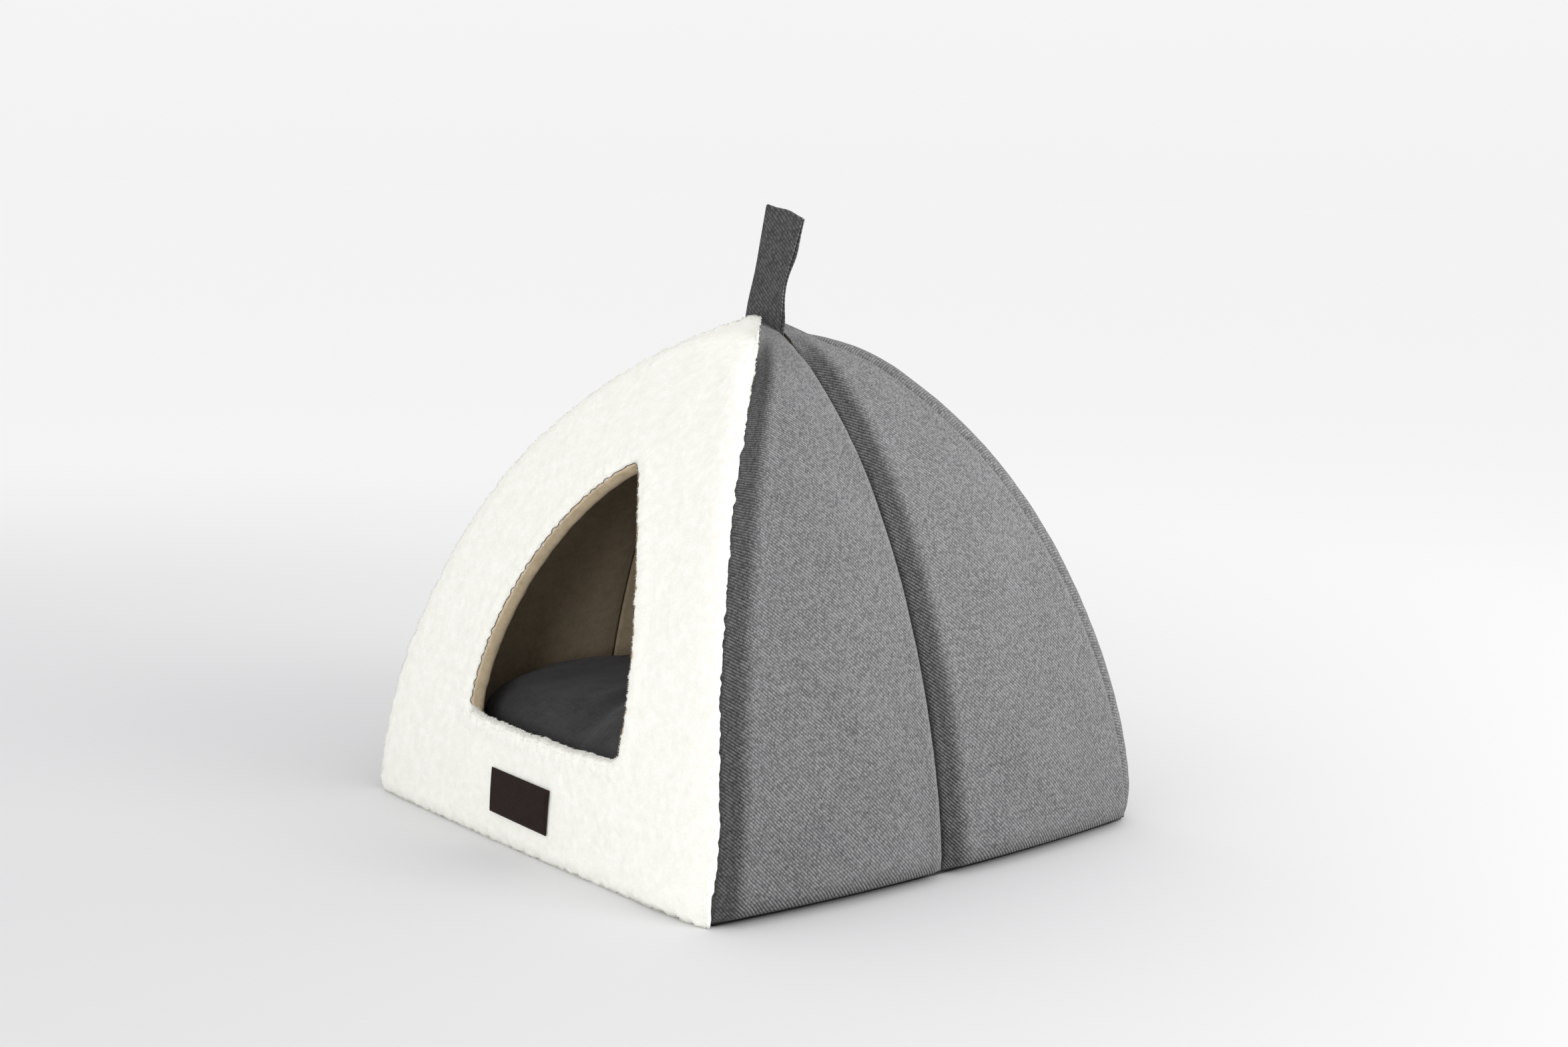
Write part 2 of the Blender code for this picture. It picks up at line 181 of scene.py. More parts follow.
SLAB_BEND = 0.36  # share of the rolled edge that is the foam's flat side
SLAB_SIDE = 0.72  # share of the swell that it reaches
SLAB_CURL = 0.12  # share of the rolled edge over which the cloth leaves the seam steeply
SLAB_CURL_RISE = 0.10


def slab_rise(distance, width):
    """The swell of cloth drawn over a foam slab: its side, then a bend, then its face."""
    x = grow(distance, width)
    slope = SLAB_SIDE / SLAB_BEND
    t = grow(x - SLAB_BEND, 1 - SLAB_BEND)
    reach = slope * (1 - SLAB_BEND)
    bend = SLAB_SIDE + (1 - SLAB_SIDE) * t * t * (3 - 2 * t) + reach * t * (1 - t) ** 2
    curl = np.sqrt(grow(x, SLAB_CURL)) * grow(1 - x / SLAB_BEND, 1) ** 2
    return np.where(x < SLAB_BEND, slope * x + SLAB_CURL_RISE * curl, bend)


def inner_rise(distance, width):
    return np.sin(np.pi / 2 * grow(distance, width))


def turned(points, quarters=0):
    """Wall coordinates as X, Y, Z of that wall."""
    along, outward, up = np.moveaxis(np.asarray(points, float), -1, 0)
    x, y = along, -outward
    for _ in range(quarters):
        x, y = -y, x
    return stacked(x, y, up)


DOME = 0.22  # share by which the middle of a gore swells further
DOME_HALF = 0.15  # and all of it where half the wall is at least this wide


def panel_points(wall, share, z, layer, foot=WALL_FOOT, from_middle=None, extra=0.0):
    """Points of a wall's layer, in wall coordinates, with extra depth where it is given."""
    shape = WALLS[wall]
    outside = layer == "face"
    rise = outer_rise if outside else inner_rise
    across_rise = slab_rise if outside and wall in ("right", "left") else rise
    half = seam_half(z)
    across, up = lean(z)
    fullness = across_rise((1 - np.abs(share)) * half, shape.roll)
    fullness = fullness * rise(z - foot, shape.foot_roll)
    fullness = fullness * inner_rise(half - TIP_FLAT, TIP_FADE)
    if from_middle is not None:
        fullness = fullness * across_rise(from_middle, shape.roll)
        if outside:
            dome = np.sin(np.pi * grow(np.abs(share), 1)) * grow(half, DOME_HALF)
            fullness = fullness * (1 + DOME * dome)
    if outside and wall == "right":
        fullness = fullness * (1 - REAR_DRAW * grow(share, 1) ** 2)
    depth = LAYERS[layer] + (shape.puff if outside else -PUFF_IN) * fullness + extra
    along = share * (half + LAYERS[layer] * across - MITRE)
    outward = half + shape.bow * (1 - z / APEX_Z) * (1 - share**2) + depth * across
    return stacked(along, outward, z + depth * up)


# Helpers ----------------------------------------------------------------------------------------
NOISE_SIZE = 24
LATTICES = np.random.default_rng(7).uniform(-1, 1, (6, NOISE_SIZE, NOISE_SIZE, NOISE_SIZE))


def noise(points, size, seed=0):
    """Smooth noise from -1 to 1 at points, with lumps about size across."""
    place = np.asarray(points, float) / size + 11.3 * seed
    cell = np.floor(place).astype(int)
    part = place - cell
    part = part * part * (3 - 2 * part)
    lattice = LATTICES[seed % len(LATTICES)]
    total = 0.0
    for corner in np.ndindex(2, 2, 2):
        index = (cell + corner) % NOISE_SIZE
        weight = np.prod(np.where(corner, part, 1 - part), axis=-1)
        total = total + weight * lattice[index[..., 0], index[..., 1], index[..., 2]]
    return total


def lumps(points, terms, level=0.0):
    """Adds noise to level. Each term says how high its lumps are, how wide, and which they are."""
    for height, size, seed in terms:
        level = level + height * noise(points, size, seed)
    return level


def eased(count, low, high):
    """count + 1 values from low to high, closer at both ends."""
    return low + (high - low) * (1 - np.cos(np.linspace(0, np.pi, count + 1))) / 2


def unit(vectors, least=1e-12):
    return vectors / np.maximum(np.linalg.norm(vectors, axis=-1, keepdims=True), least)


def make_object(name, points, faces, cloth, flat_points=None):
    """A mesh object; flat_points is the place of each point on its flat cloth, in metres."""
    mesh = bpy.data.meshes.new(name)
    mesh.from_pydata(points.tolist(), [], faces)
    mesh.update()
    mesh.shade_smooth()
    if flat_points is not None:
        layer = mesh.uv_layers.new(name="UVMap")
        corners = np.zeros(len(mesh.loops), dtype=np.int32)
        mesh.loops.foreach_get("vertex_index", corners)
        layer.data.foreach_set("uv", flat_points[corners].astype(np.float32).ravel())
    mesh.materials.append(cloth)
    obj = bpy.data.objects.new(name, mesh)
    bpy.context.scene.collection.objects.link(obj)
    return obj


def grid_quads(number, flip=False):
    """The quads between the points of a grid, given by their numbers."""
    a, b, c, d = number[:-1, :-1], number[:-1, 1:], number[1:, 1:], number[1:, :-1]
    order = (a, d, c, b) if flip else (a, b, c, d)
    return stacked(*(v.ravel() for v in order))


def shell(name, face, back, cloth, flat=None):
    """A panel between two grids of points, closed round its four edges."""
    rows, columns = face.shape[:2]
    number = np.arange(rows * columns).reshape(rows, columns)
    under = number + rows * columns
    faces = [grid_quads(number), grid_quads(under, True)]
    for line, flip in (
        (np.s_[0, :], True),
        (np.s_[-1, :], False),
        (np.s_[:, 0], False),
        (np.s_[:, -1], True),
    ):
        faces.append(grid_quads(np.stack([number[line], under[line]]), flip))
    points = np.concatenate([face.reshape(-1, 3), back.reshape(-1, 3)])
    if flat is not None:
        flat = np.concatenate([flat.reshape(-1, 2)] * 2)
    return make_object(name, points, np.concatenate(faces).tolist(), cloth, flat)


def ringed(name, loops, cloth, closed_across, flat=None):
    """Closed loops joined in order, into a ring or into a solid with two flat ends."""
    loops = np.asarray(loops)
    count = loops.shape[1]
    numbers = np.arange(loops.shape[0] * count).reshape(-1, count)
    wrapped = np.concatenate([numbers, numbers[:, :1]], axis=1)
    if closed_across:
        wrapped = np.concatenate([wrapped, wrapped[:1]])
    faces = grid_quads(wrapped).tolist()
    if not closed_across:
        faces += [numbers[0][::-1].tolist(), numbers[-1].tolist()]
    if flat is not None:
        flat = np.reshape(flat, (-1, 2))
    return make_object(name, loops.reshape(-1, 3), faces, cloth, flat)


# How each wall lies over its foam ---------------------------------------------------------------
# lumps are given as height, width and number of the noise
FOAM_LUMPS = [(0.0010, 0.050, 1), (0.0004, 0.020, 2)]
FOAM_SINK = 0.0004  # and all of it lies this much lower
EDGE_FADE = 0.020  # the foam's unevenness dies out this far from a seam
PUCKERS = [(0.0005, 0.0065, 3)]
PUCKER_START, PUCKER_REACH = 0.002, 0.010  # distances from a seam

# for each corner: its side in X and in Y, and the sideways places of its seam against the even
# curve, as height and distance
CORNER_SEAMS = [
    (
        (1, -1),
        [(0.0, -0.0007), (0.026, 0.0006), (0.060, 0.0030), (0.077, 0.0017), (0.115, -0.0003)]
        + [(0.165, -0.0015), (0.230, -0.0020), (0.270, -0.0015), (0.300, 0.0003)]
        + [(0.335, 0.0023), (0.372, 0.0010)],
    ),
    ((1, 1), [(0.0, 0.0), (0.09, 0.0012), (0.18, -0.0008), (0.28, 0.0010), (0.372, 0.0)]),
    ((-1, 1), [(0.0, 0.0), (0.07, -0.0012), (0.20, 0.0014), (0.30, -0.0008), (0.372, 0.0)]),
    ((-1, -1), [(0.0, 0.0), (0.10, 0.0012), (0.21, -0.0012), (0.31, 0.0008), (0.372, 0.0)]),
]
WANDER_REACH = 0.030  # how far beside a seam its wander is felt


def wander(points):
    """Moves the points near each corner seam sideways, so that no seam is a perfect curve."""
    points = np.array(points, float)
    z = points[..., 2]
    half = seam_half(z)
    move = np.zeros(points.shape[:-1] + (2,))
    for (sx, sy), places in CORNER_SEAMS:
        shift = np.interp(z, *np.array(places).T)
        distance = np.hypot(points[..., 0] - sx * half, points[..., 1] - sy * half)
        weight = shift * bell(distance, WANDER_REACH) / math.sqrt(2)
        move[..., 0] -= weight * sy
        move[..., 1] += weight * sx
    points[..., :2] += move
    return points


# how far the middle seams of the side walls lie off the middle, along the wall, and how far that
# is felt beside them
MIDDLE_SHIFT = {"right": -0.0045, "left": -0.0150}
MIDDLE_REACH = {"right": 0.035, "left": 0.070}
MIDDLE_TRUE, MIDDLE_FADE = 0.030, 0.040  # near the strap, in half widths, they lie in the middle


def off_middle(wall, middle, half):
    """How far a point that lies middle from a wall's middle line moves along the wall."""
    shift = MIDDLE_SHIFT[wall] * grow(half - MIDDLE_TRUE, MIDDLE_FADE)
    return shift * bell(middle, MIDDLE_REACH[wall])


def foam(wall, share, z, foot, from_middle=None):
    """The foam's unevenness under the cloth, and the puckers beside the seams."""
    shape = WALLS[wall]
    half = seam_half(z)
    place = stacked(share * half, slope_length(z), 0.1 * shape.turns)
    to_corner = (1 - np.abs(share)) * half
    nearest = np.minimum(to_corner, z - foot)
    to_seam = to_corner
    if from_middle is not None:
        nearest = np.minimum(nearest, from_middle)
        to_seam = np.minimum(to_seam, from_middle)
    inside = grow(nearest, EDGE_FADE) * grow(half - TIP_FLAT, TIP_FADE)
    pucker = lumps(place, PUCKERS) * np.exp(-to_seam / PUCKER_REACH) * grow(to_seam, PUCKER_START)
    return (lumps(place, FOAM_LUMPS) - FOAM_SINK) * inside + pucker * grow(half, TIP_FADE)


def roll_table(width, puff, rise):
    """Distances from a seam, and how much longer the cloth is over its rolled edge."""
    distance = np.linspace(0, width, 200)
    height = puff * rise(distance, width)
    arc = np.concatenate([[0], np.cumsum(np.hypot(np.diff(distance), np.diff(height)))])
    return distance, (arc[-1] - arc) - (distance[-1] - distance)


def flat_cloth(wall, share, z, from_middle=None):
    """Where each point of a wall lies on its cloth before it is sewn and filled, in metres."""
    shape = WALLS[wall]
    half = seam_half(z)
    edge = np.arctan(lean(z)[1])
    distances, extra = roll_table(shape.roll, shape.puff, slab_rise)
    side = np.sign(share)
    to_corner = (1 - np.abs(share)) * half * np.cos(edge)
    beside = np.interp(to_corner, distances, extra)
    u = share * half + side * np.cos(edge) * beside
    v = slope_length(z) + np.sin(edge) * beside
    v = v - np.interp(z - WALL_FOOT, *roll_table(shape.foot_roll, shape.puff, outer_rise))
    if from_middle is not None:
        u = u - side * np.interp(from_middle, distances, extra)
    return stacked(u, v)


# Materials --------------------------------------------------------------------------------------
class Cloth:
    """A material, or another owner of nodes, under construction, with short ways to add them."""

    def __init__(self, name, owners=bpy.data.materials, shader="Principled BSDF"):
        self.material = owners.new(name)
        self.material.use_nodes = True
        self.tree = self.material.node_tree
        self.shader = self.tree.nodes[shader]

    def add(self, kind, inputs=None, **settings):
        made = self.tree.nodes.new(kind)
        for name, value in settings.items():
            setattr(made, name, value)
        for name, value in (inputs or {}).items():
            self.put(made, name, value)
        return made

    def put(self, made, name, value):
        if isinstance(value, bpy.types.NodeSocket):
            self.tree.links.new(value, made.inputs[name])
        else:
            made.inputs[name].default_value = value

    def math(self, operation, a, b=0.0, c=0.0):
        made = self.add("ShaderNodeMath", {0: a, 1: b}, operation=operation)
        if operation in ("MULTIPLY_ADD", "WRAP", "SMOOTH_MIN", "SMOOTH_MAX", "COMPARE"):
            self.put(made, 2, c)
        return made.outputs[0]

    def total(self, *terms):
        """The sum of the values, each times its share."""
        level = 0.0
        for value, share in terms:
            level = self.math("MULTIPLY_ADD", value, share, level)
        return level

    def wave(self, turns):
        """From 1 to -1 and back in each turn."""
        return self.math("COSINE", self.math("MULTIPLY", turns, 2 * math.pi))

    def place(self, kind="Object"):
        return self.add("ShaderNodeTexCoord").outputs[kind]

    def noise(self, place, size, detail=2.0, rough=0.5, stretch=None):
        """Noise with lumps about size across, in metres."""
        if stretch:
            place = self.add("ShaderNodeVectorMath", {0: place, 1: stretch}, operation="MULTIPLY")
            place = place.outputs[0]
        made = self.add(
            "ShaderNodeTexNoise",
            {"Vector": place, "Scale": 1 / size, "Detail": detail, "Roughness": rough},
        )
        return made.outputs["Fac"]

    def ramp(self, value, *stops):
        made = self.add("ShaderNodeValToRGB", {0: value})
        slots = made.color_ramp.elements
        while len(slots) < len(stops):
            slots.new(0.5)
        for slot, (place, colour) in zip(slots, stops):
            slot.position = place
            slot.color = (*colour, 1.0)
        return made.outputs["Color"]

    def mix(self, share, a, b, how="MIX"):
        made = self.add("ShaderNodeMix", data_type="RGBA", blend_type=how)
        for name, value in (("Factor", share), ("A", a), ("B", b)):
            sockets = [s for s in made.inputs if s.name == name and s.enabled]
            if isinstance(value, bpy.types.NodeSocket):
                self.tree.links.new(value, sockets[0])
            else:
                plain = isinstance(value, float)
                sockets[0].default_value = value if plain else (*value, 1.0)
        return [s for s in made.outputs if s.enabled][0]

    def finish(self, colour, height, depth, roughness, sheen=0.0, specular=0.2, tint=None):
        self.put(self.shader, "Base Color", colour)
        self.put(self.shader, "Roughness", roughness)
        self.shader.inputs["Specular IOR Level"].default_value = specular
        self.shader.inputs["Sheen Weight"].default_value = sheen
        self.shader.inputs["Sheen Roughness"].default_value = 0.5
        if tint:
            self.shader.inputs["Sheen Tint"].default_value = (*tint, 1.0)
        bump = self.add("ShaderNodeBump", {"Height": height, "Distance": depth, "Strength": 1.0})
        self.put(self.shader, "Normal", bump.outputs["Normal"])
        return self.material


FLOATS = 1.7  # floats of yarn in a length of rib that is as long as the ribs are apart


def twill(name, dark, light, pitch, slant=1.0, contrast=1.0):
    """Diagonal twill of mottled yarns. The flat place of the cloth comes from its UV map."""
    cloth = Cloth(name)
    place = cloth.place("UV")
    apart = cloth.add("ShaderNodeSeparateXYZ", {0: place})
    u, v = apart.outputs[0], apart.outputs[1]
    length = math.hypot(1.0, slant) * pitch
    bend = cloth.noise(place, 0.018, 1.0)
    across = cloth.total((u, 1.0 / length), (v, slant / length), (bend, 0.9))
    along = cloth.total((u, FLOATS * slant / length), (v, -FLOATS / length))
    rib = cloth.math("MULTIPLY_ADD", cloth.wave(across), 0.5, 0.5)
    row = cloth.math("FLOOR", cloth.math("ADD", across, 0.5))
    along = cloth.math("MULTIPLY_ADD", row, 0.37, along)
    float_bump = cloth.math("MULTIPLY_ADD", cloth.wave(along), 0.5, 0.5)
    stitch = cloth.math("FLOOR", cloth.math("ADD", along, 0.5))
    cell = cloth.add("ShaderNodeCombineXYZ", {0: row, 1: stitch})
    tone = cloth.add("ShaderNodeTexWhiteNoise", {"Vector": cell.outputs[0]}, noise_dimensions="2D")
    tone = tone.outputs["Value"]
    mottle = cloth.noise(place, 0.0030, 2.0, 0.6)
    fuzz = cloth.noise(place, 0.0012, 2.0, 0.7)
    cloudy = cloth.noise(place, 0.05, 1.0)
    dash = cloth.math("MULTIPLY", rib, cloth.math("MULTIPLY_ADD", float_bump, 0.55, 0.45))
    dash = cloth.math("MULTIPLY", dash, cloth.math("MULTIPLY_ADD", tone, 0.9, 0.45))
    level = cloth.total(
        (dash, 0.40 * contrast), (tone, 0.15), (mottle, 0.36), (fuzz, 0.50), (cloudy, 0.10)
    )
    colour = cloth.ramp(level, (0.33, dark), (1.05, light))
    height = cloth.total((rib, 1.0), (float_bump, 0.35), (fuzz, 0.5))
    return cloth.finish(colour, height, 0.00022, 0.92, sheen=0.06, specular=0.10)


def fleece(name):
    """Short curled pile: near-white, with faint clumps."""
    cloth = Cloth(name)
    place = cloth.place()
    clumps = cloth.noise(place, 0.0075, 2.0, 0.55)
    curls = cloth.noise(place, 0.0014, 3.0, 0.65)
    tone = cloth.total((clumps, 0.5), (curls, 0.5))
    colour = cloth.ramp(tone, (0.35, (0.750, 0.750, 0.688)), (0.65, (0.835, 0.835, 0.793)))
    height = cloth.math("MULTIPLY_ADD", curls, 0.5, clumps)
    return cloth.finish(
        colour, height, 0.0003, 1.0, sheen=0.2, specular=0.0, tint=(1.0, 0.98, 0.94)
    )


def woven(name, dark, light, thread, crossing=0.3, mottled=0.35, fuzzy=0.3, depth=0.00015):
    """Plain weave: crossing threads, with slubs and faint clouds."""
    cloth = Cloth(name)
    place = cloth.place()
    apart = cloth.add("ShaderNodeSeparateXYZ", {0: place})
    ways = []
    for number in (0, 1):
        way = cloth.math("ADD", apart.outputs[number], apart.outputs[2])
        ways.append(cloth.math("SINE", cloth.math("MULTIPLY", way, 2 * math.pi / thread)))
    weave = cloth.math("MULTIPLY_ADD", cloth.math("MULTIPLY", *ways), 0.5, 0.5)
    slubs = cloth.noise(place, 0.003, 2.0, 0.6, (1.0, 0.25, 0.25))
    cross_slubs = cloth.noise(place, 0.003, 2.0, 0.6, (0.25, 1.0, 1.0))
    fuzz = cloth.noise(place, 0.0010, 2.0, 0.7)
    clouds = cloth.noise(place, 0.03, 2.0)
    level = cloth.total(
        (weave, crossing), (slubs, mottled), (cross_slubs, mottled), (fuzz, fuzzy), (clouds, 0.2)
    )
    colour = cloth.ramp(level, (0.35, dark), (0.95, light))
    height = cloth.total((weave, 2 * crossing), (fuzz, 0.8), (slubs, 0.6))
    return cloth.finish(colour, height, depth, 0.9, sheen=0.1, specular=0.15)


def leather(name):
    """Dark brown leather look with a fine pebbled grain, lighter along worn places."""
    cloth = Cloth(name)
    place = cloth.place()
    grain = cloth.add(
        "ShaderNodeTexVoronoi", {"Vector": place, "Scale": 1 / 0.0011}, feature="DISTANCE_TO_EDGE"
    ).outputs["Distance"]
    grain = cloth.math("MINIMUM", cloth.math("MULTIPLY", grain, 4.0), 1.0)
    waves = cloth.noise(place, 0.006, 2.0)
    fine = cloth.noise(place, 0.0005, 2.0)
    tone = cloth.math("MULTIPLY_ADD", grain, 0.25, waves)
    colour = cloth.ramp(tone, (0.35, (0.0085, 0.0045, 0.0034)), (0.95, (0.020, 0.011, 0.0083)))
    height = cloth.math("MULTIPLY_ADD", fine, 0.3, grain)
    rough = cloth.math("MULTIPLY_ADD", waves, 0.25, 0.42)
    return cloth.finish(colour, height, 0.00008, rough, specular=0.08)


def thread(name, colour, darkest=0.6, depth=0.0001):
    """Twisted thread or fibre."""
    cloth = Cloth(name)
    place = cloth.place()
    twist = cloth.noise(place, 0.0005, 1.0)
    tone = cloth.ramp(twist, (0.3, tuple(darkest * c for c in colour)), (0.7, colour))
    return cloth.finish(tone, twist, depth, 0.8, sheen=0.1, specular=0.0)


CLOTHS = {
    "fleece": fleece("fleece_pile"),
    "twill": twill("grey_twill", (0.018, 0.018, 0.0185), (0.122, 0.122, 0.124), 0.00195),
    "strap": twill("strap_twill", (0.011, 0.011, 0.0115), (0.100, 0.100, 0.102), 0.0027, 2.0, 1.1),
    "lining": woven(
        "beige_lining",
        (0.33, 0.262, 0.166),
        (0.585, 0.475, 0.335),
        0.0009,
        crossing=0.06,
        depth=0.0001,
    ),
    "base": woven("black_base_cloth", (0.002, 0.002, 0.0022), (0.009, 0.009, 0.010), 0.0012),
    "cushion": woven(
        "charcoal_weave",
        (0.006, 0.006, 0.007),
        (0.053, 0.053, 0.056),
        0.0016,
        crossing=0.16,
        mottled=0.30,
        fuzzy=0.55,
        depth=0.0003,
    ),
    "leather": leather("patch_leather"),
    "fibre": thread("fleece_fibre", (0.82, 0.82, 0.77), 0.93, 0.00002),
    "seam": thread("seam_thread", (0.012, 0.012, 0.012)),
    "doorway_stitch": thread("doorway_thread", (0.13, 0.095, 0.07)),
}

# Side and rear walls ----------------------------------------------------------------------------
WALL_STEP = 0.0032  # about the spacing of a wall's points up the slope
GORE_COLUMNS = 60
LINING_ROWS = 64
LINING_COLUMNS = 30


def wall_rows(layer, rows):
    """Heights evenly spaced up the slope, closer at the foot and by the strap."""
    tip = TIP_HALF if layer == "face" else INNER_TIP_HALF
    low, high = slope_length(WALL_FOOT), slope_length(seam_height(tip))
    even = np.linspace(low, high, rows + 1)
    return height_of(0.55 * even + 0.45 * eased(rows, low, high))


def columns_of(count, low, high):
    """Places across a wall, closer at its seams."""
    return 0.5 * (np.linspace(low, high, count + 1) + eased(count, low, high))


FOOT_DROP, FOOT_DROP_REACH = 0.0013, 0.004  # the cloth hangs a little over the base's rim
LINING_SLACK = 0.0008  # the lining hangs off the foam in waves, but not at its seams and hem
LINING_WAVE = 0.028
LINING_SEAM_FADE = 0.020
LINING_HEM, LINING_HEM_FADE = 0.005, 0.010


def gore_layer(wall, side, layer, rows, columns):
    """One layer of half a wall and its flat cloth; side is 1 to the right of the middle, or -1."""
    z, share = np.meshgrid(wall_rows(layer, rows), columns_of(columns, 0.0, 1.0), indexing="ij")
    half = seam_half(z)
    middle = share * half
    near_strap = grow(SLOT_REACH[wall] + SLOT_FADE - half, SLOT_FADE)
    inset = GAP / 2 + (STRAP_SLOT - GAP / 2) * near_strap
    extra = 0.0
    if layer == "face":
        extra = foam(wall, side * share, z, WALL_FOOT, middle)
    elif layer == "lining_face":
        waves = 1 + noise(stacked(side * middle, slope_length(z), 0.0), LINING_WAVE, 4)
        loose = grow((1 - share) * half, LINING_SEAM_FADE) * grow(middle, LINING_SEAM_FADE)
        extra = -LINING_SLACK * loose * waves * grow(z - LINING_HEM, LINING_HEM_FADE)
    points = panel_points(wall, side * share, z, layer, from_middle=middle, extra=extra)
    points[..., 0] += side * inset * (1 - share) + off_middle(wall, middle, half)
    if layer == "face":
        points[..., 2] -= FOOT_DROP * np.exp(-(z - WALL_FOOT) / FOOT_DROP_REACH)
    flat = flat_cloth(wall, side * np.maximum(share, 1e-9), z, middle)
    return wander(turned(points, WALLS[wall].turns))[:, ::side], flat[:, ::side]


def back_layer(layer, rows, columns):
    """One layer of the rear wall and its flat cloth."""
    z, share = np.meshgrid(wall_rows(layer, rows), columns_of(columns, -1.0, 1.0), indexing="ij")
    extra = foam("back", share, z, WALL_FOOT) if layer == "face" else 0.0
    points = panel_points("back", share, z, layer, extra=extra)
    return wander(turned(points, WALLS["back"].turns)), flat_cloth("back", share, z)


def wall_length():
    return slope_length(seam_height(TIP_HALF)) - slope_length(WALL_FOOT)


def stand_in(obj, node):
    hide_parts(node)
    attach(obj, "root")


def finish_padded(obj, node):
    stand_in(obj, node)


def finish_sheet(obj, node):
    stand_in(obj, node)


def make_panel(names, nodes, layer, halves):
    """The padded panel and the lining of a wall, or of half a wall."""
    rows, columns = int(wall_length() / WALL_STEP), halves * GORE_COLUMNS
    face, flat = layer("face", rows, columns)
    back, _ = layer("back", rows, columns)
    panel = shell(names[0], face, back, CLOTHS["twill"], flat)
    finish_padded(panel, nodes[0])
    hidden, flat = layer("lining_back", LINING_ROWS, halves * LINING_COLUMNS)
    shown, _ = layer("lining_face", LINING_ROWS, halves * LINING_COLUMNS)
    lining = shell(names[1], hidden, shown, CLOTHS["lining"], flat)
    finish_sheet(lining, nodes[1])


def make_walls():
    for wall, front_side in (("right", -1), ("left", 1)):
        for place, side in (("front", front_side), ("back", -front_side)):
            gore, layer = f"{wall}_{place}", partial(gore_layer, wall, side)
            names, nodes = (f"{gore}_gore", f"{gore}_lining"), (f"side_{gore}", f"lining_{gore}")
            make_panel(names, nodes, layer, 1)
    make_panel(("rear_panel", "rear_lining"), ("back_panel", "lining_back"), back_layer, 2)


# Front wall -------------------------------------------------------------------------------------
SILL_POINTS = 250
SIDE_POINTS = 290
ARCH_POINTS = 8
ARCH_TIP = 0.004  # length of the doorway's tip on each side
ARCH_TIP_DROP = 0.0006
FACE_RINGS = 54
BACK_RINGS = 5

# share of the panel's thickness, distance from the doorway's line
DOOR_EDGE = [(0.93, 0.0030), (0.75, 0.0006), (0.25, 0.0), (0.06, 0.0015), (0.0, 0.0050)]
DOOR_LINING_SHOWN = [(-0.155, 0.0050), (-0.060, 0.0002), (0.25, -0.0019)]
DOOR_LINING_SHOWN += [(0.75, -0.0019), (0.87, -0.0012)]
DOOR_LINING_HIDDEN = [(0.80, -0.0004), (0.25, -0.0004), (0.034, 0.0012), (-0.026, 0.0050)]

HEM_Z = 0.0004  # the fleece ends this high above the floor
SILL_ENDS = (4, 14)  # points over which the sill's own shape dies out at its left and right ends
SILL_SLOPE = 0.004  # how far the sill falls from its face to its back
LINING_SILL_DROP = 0.0012
LINING_SILL_SHARE = 0.08  # at the sill the fleece is turned in, and the lining starts behind it
LINING_RINGS = 10
LINING_SHOWN_STEPS, LINING_HIDDEN_STEPS = 16, 6
LINING_PUCKERS = [(0.0004, 0.006, 2)]

HEM_BULGE = 0.0030  # the fleece stands out by the right lower corner
HEM_BULGE_AT, HEM_BULGE_WIDE = 0.78, 0.17  # shares of half the wall
HEM_BULGE_HIGH, HEM_BULGE_START = 0.035, 0.004


def smooth_line(points, count):
    """A smooth open curve through points, resampled evenly."""
    points = np.asarray(points, float)
    padded = np.concatenate([[2 * points[0] - points[1]], points, [2 * points[-1] - points[-2]]])
    t = np.linspace(0, 1, 40, endpoint=False)[:, None]
    pieces = []
    for i in range(len(points) - 1):
        a, b, c, d = padded[i : i + 4]
        twice = 2 * b + (c - a) * t + (2 * a - 5 * b + 4 * c - d) * t**2
        pieces.append(0.5 * (twice + (3 * b - a - 3 * c + d) * t**3))
    return resampled(np.concatenate(pieces + [points[-1:]]), count)


def resampled(line, count, start=0.0, end=None):
    """count + 1 points evenly spaced along an open line, between two distances along it."""
    steps = np.linalg.norm(np.diff(line, axis=0), axis=1)
    length = np.concatenate([[0], np.cumsum(steps)])
    places = np.linspace(start, length[-1] if end is None else end, count + 1)
    return stacked(*(np.interp(places, length, axis) for axis in line.T))


def door_side(z):
    """Half the doorway's width at height z, and where its middle is."""
    t = grow(z - DOOR_SPRING, DOOR_TOP - DOOR_SPRING)
    half = DOOR_HALF * (1 - t**DOOR_LEAN_POWER) ** DOOR_CLOSE_POWER
    return half, DOOR_MIDDLE + DOOR_TIP_LEAN * t**DOOR_TIP_POWER


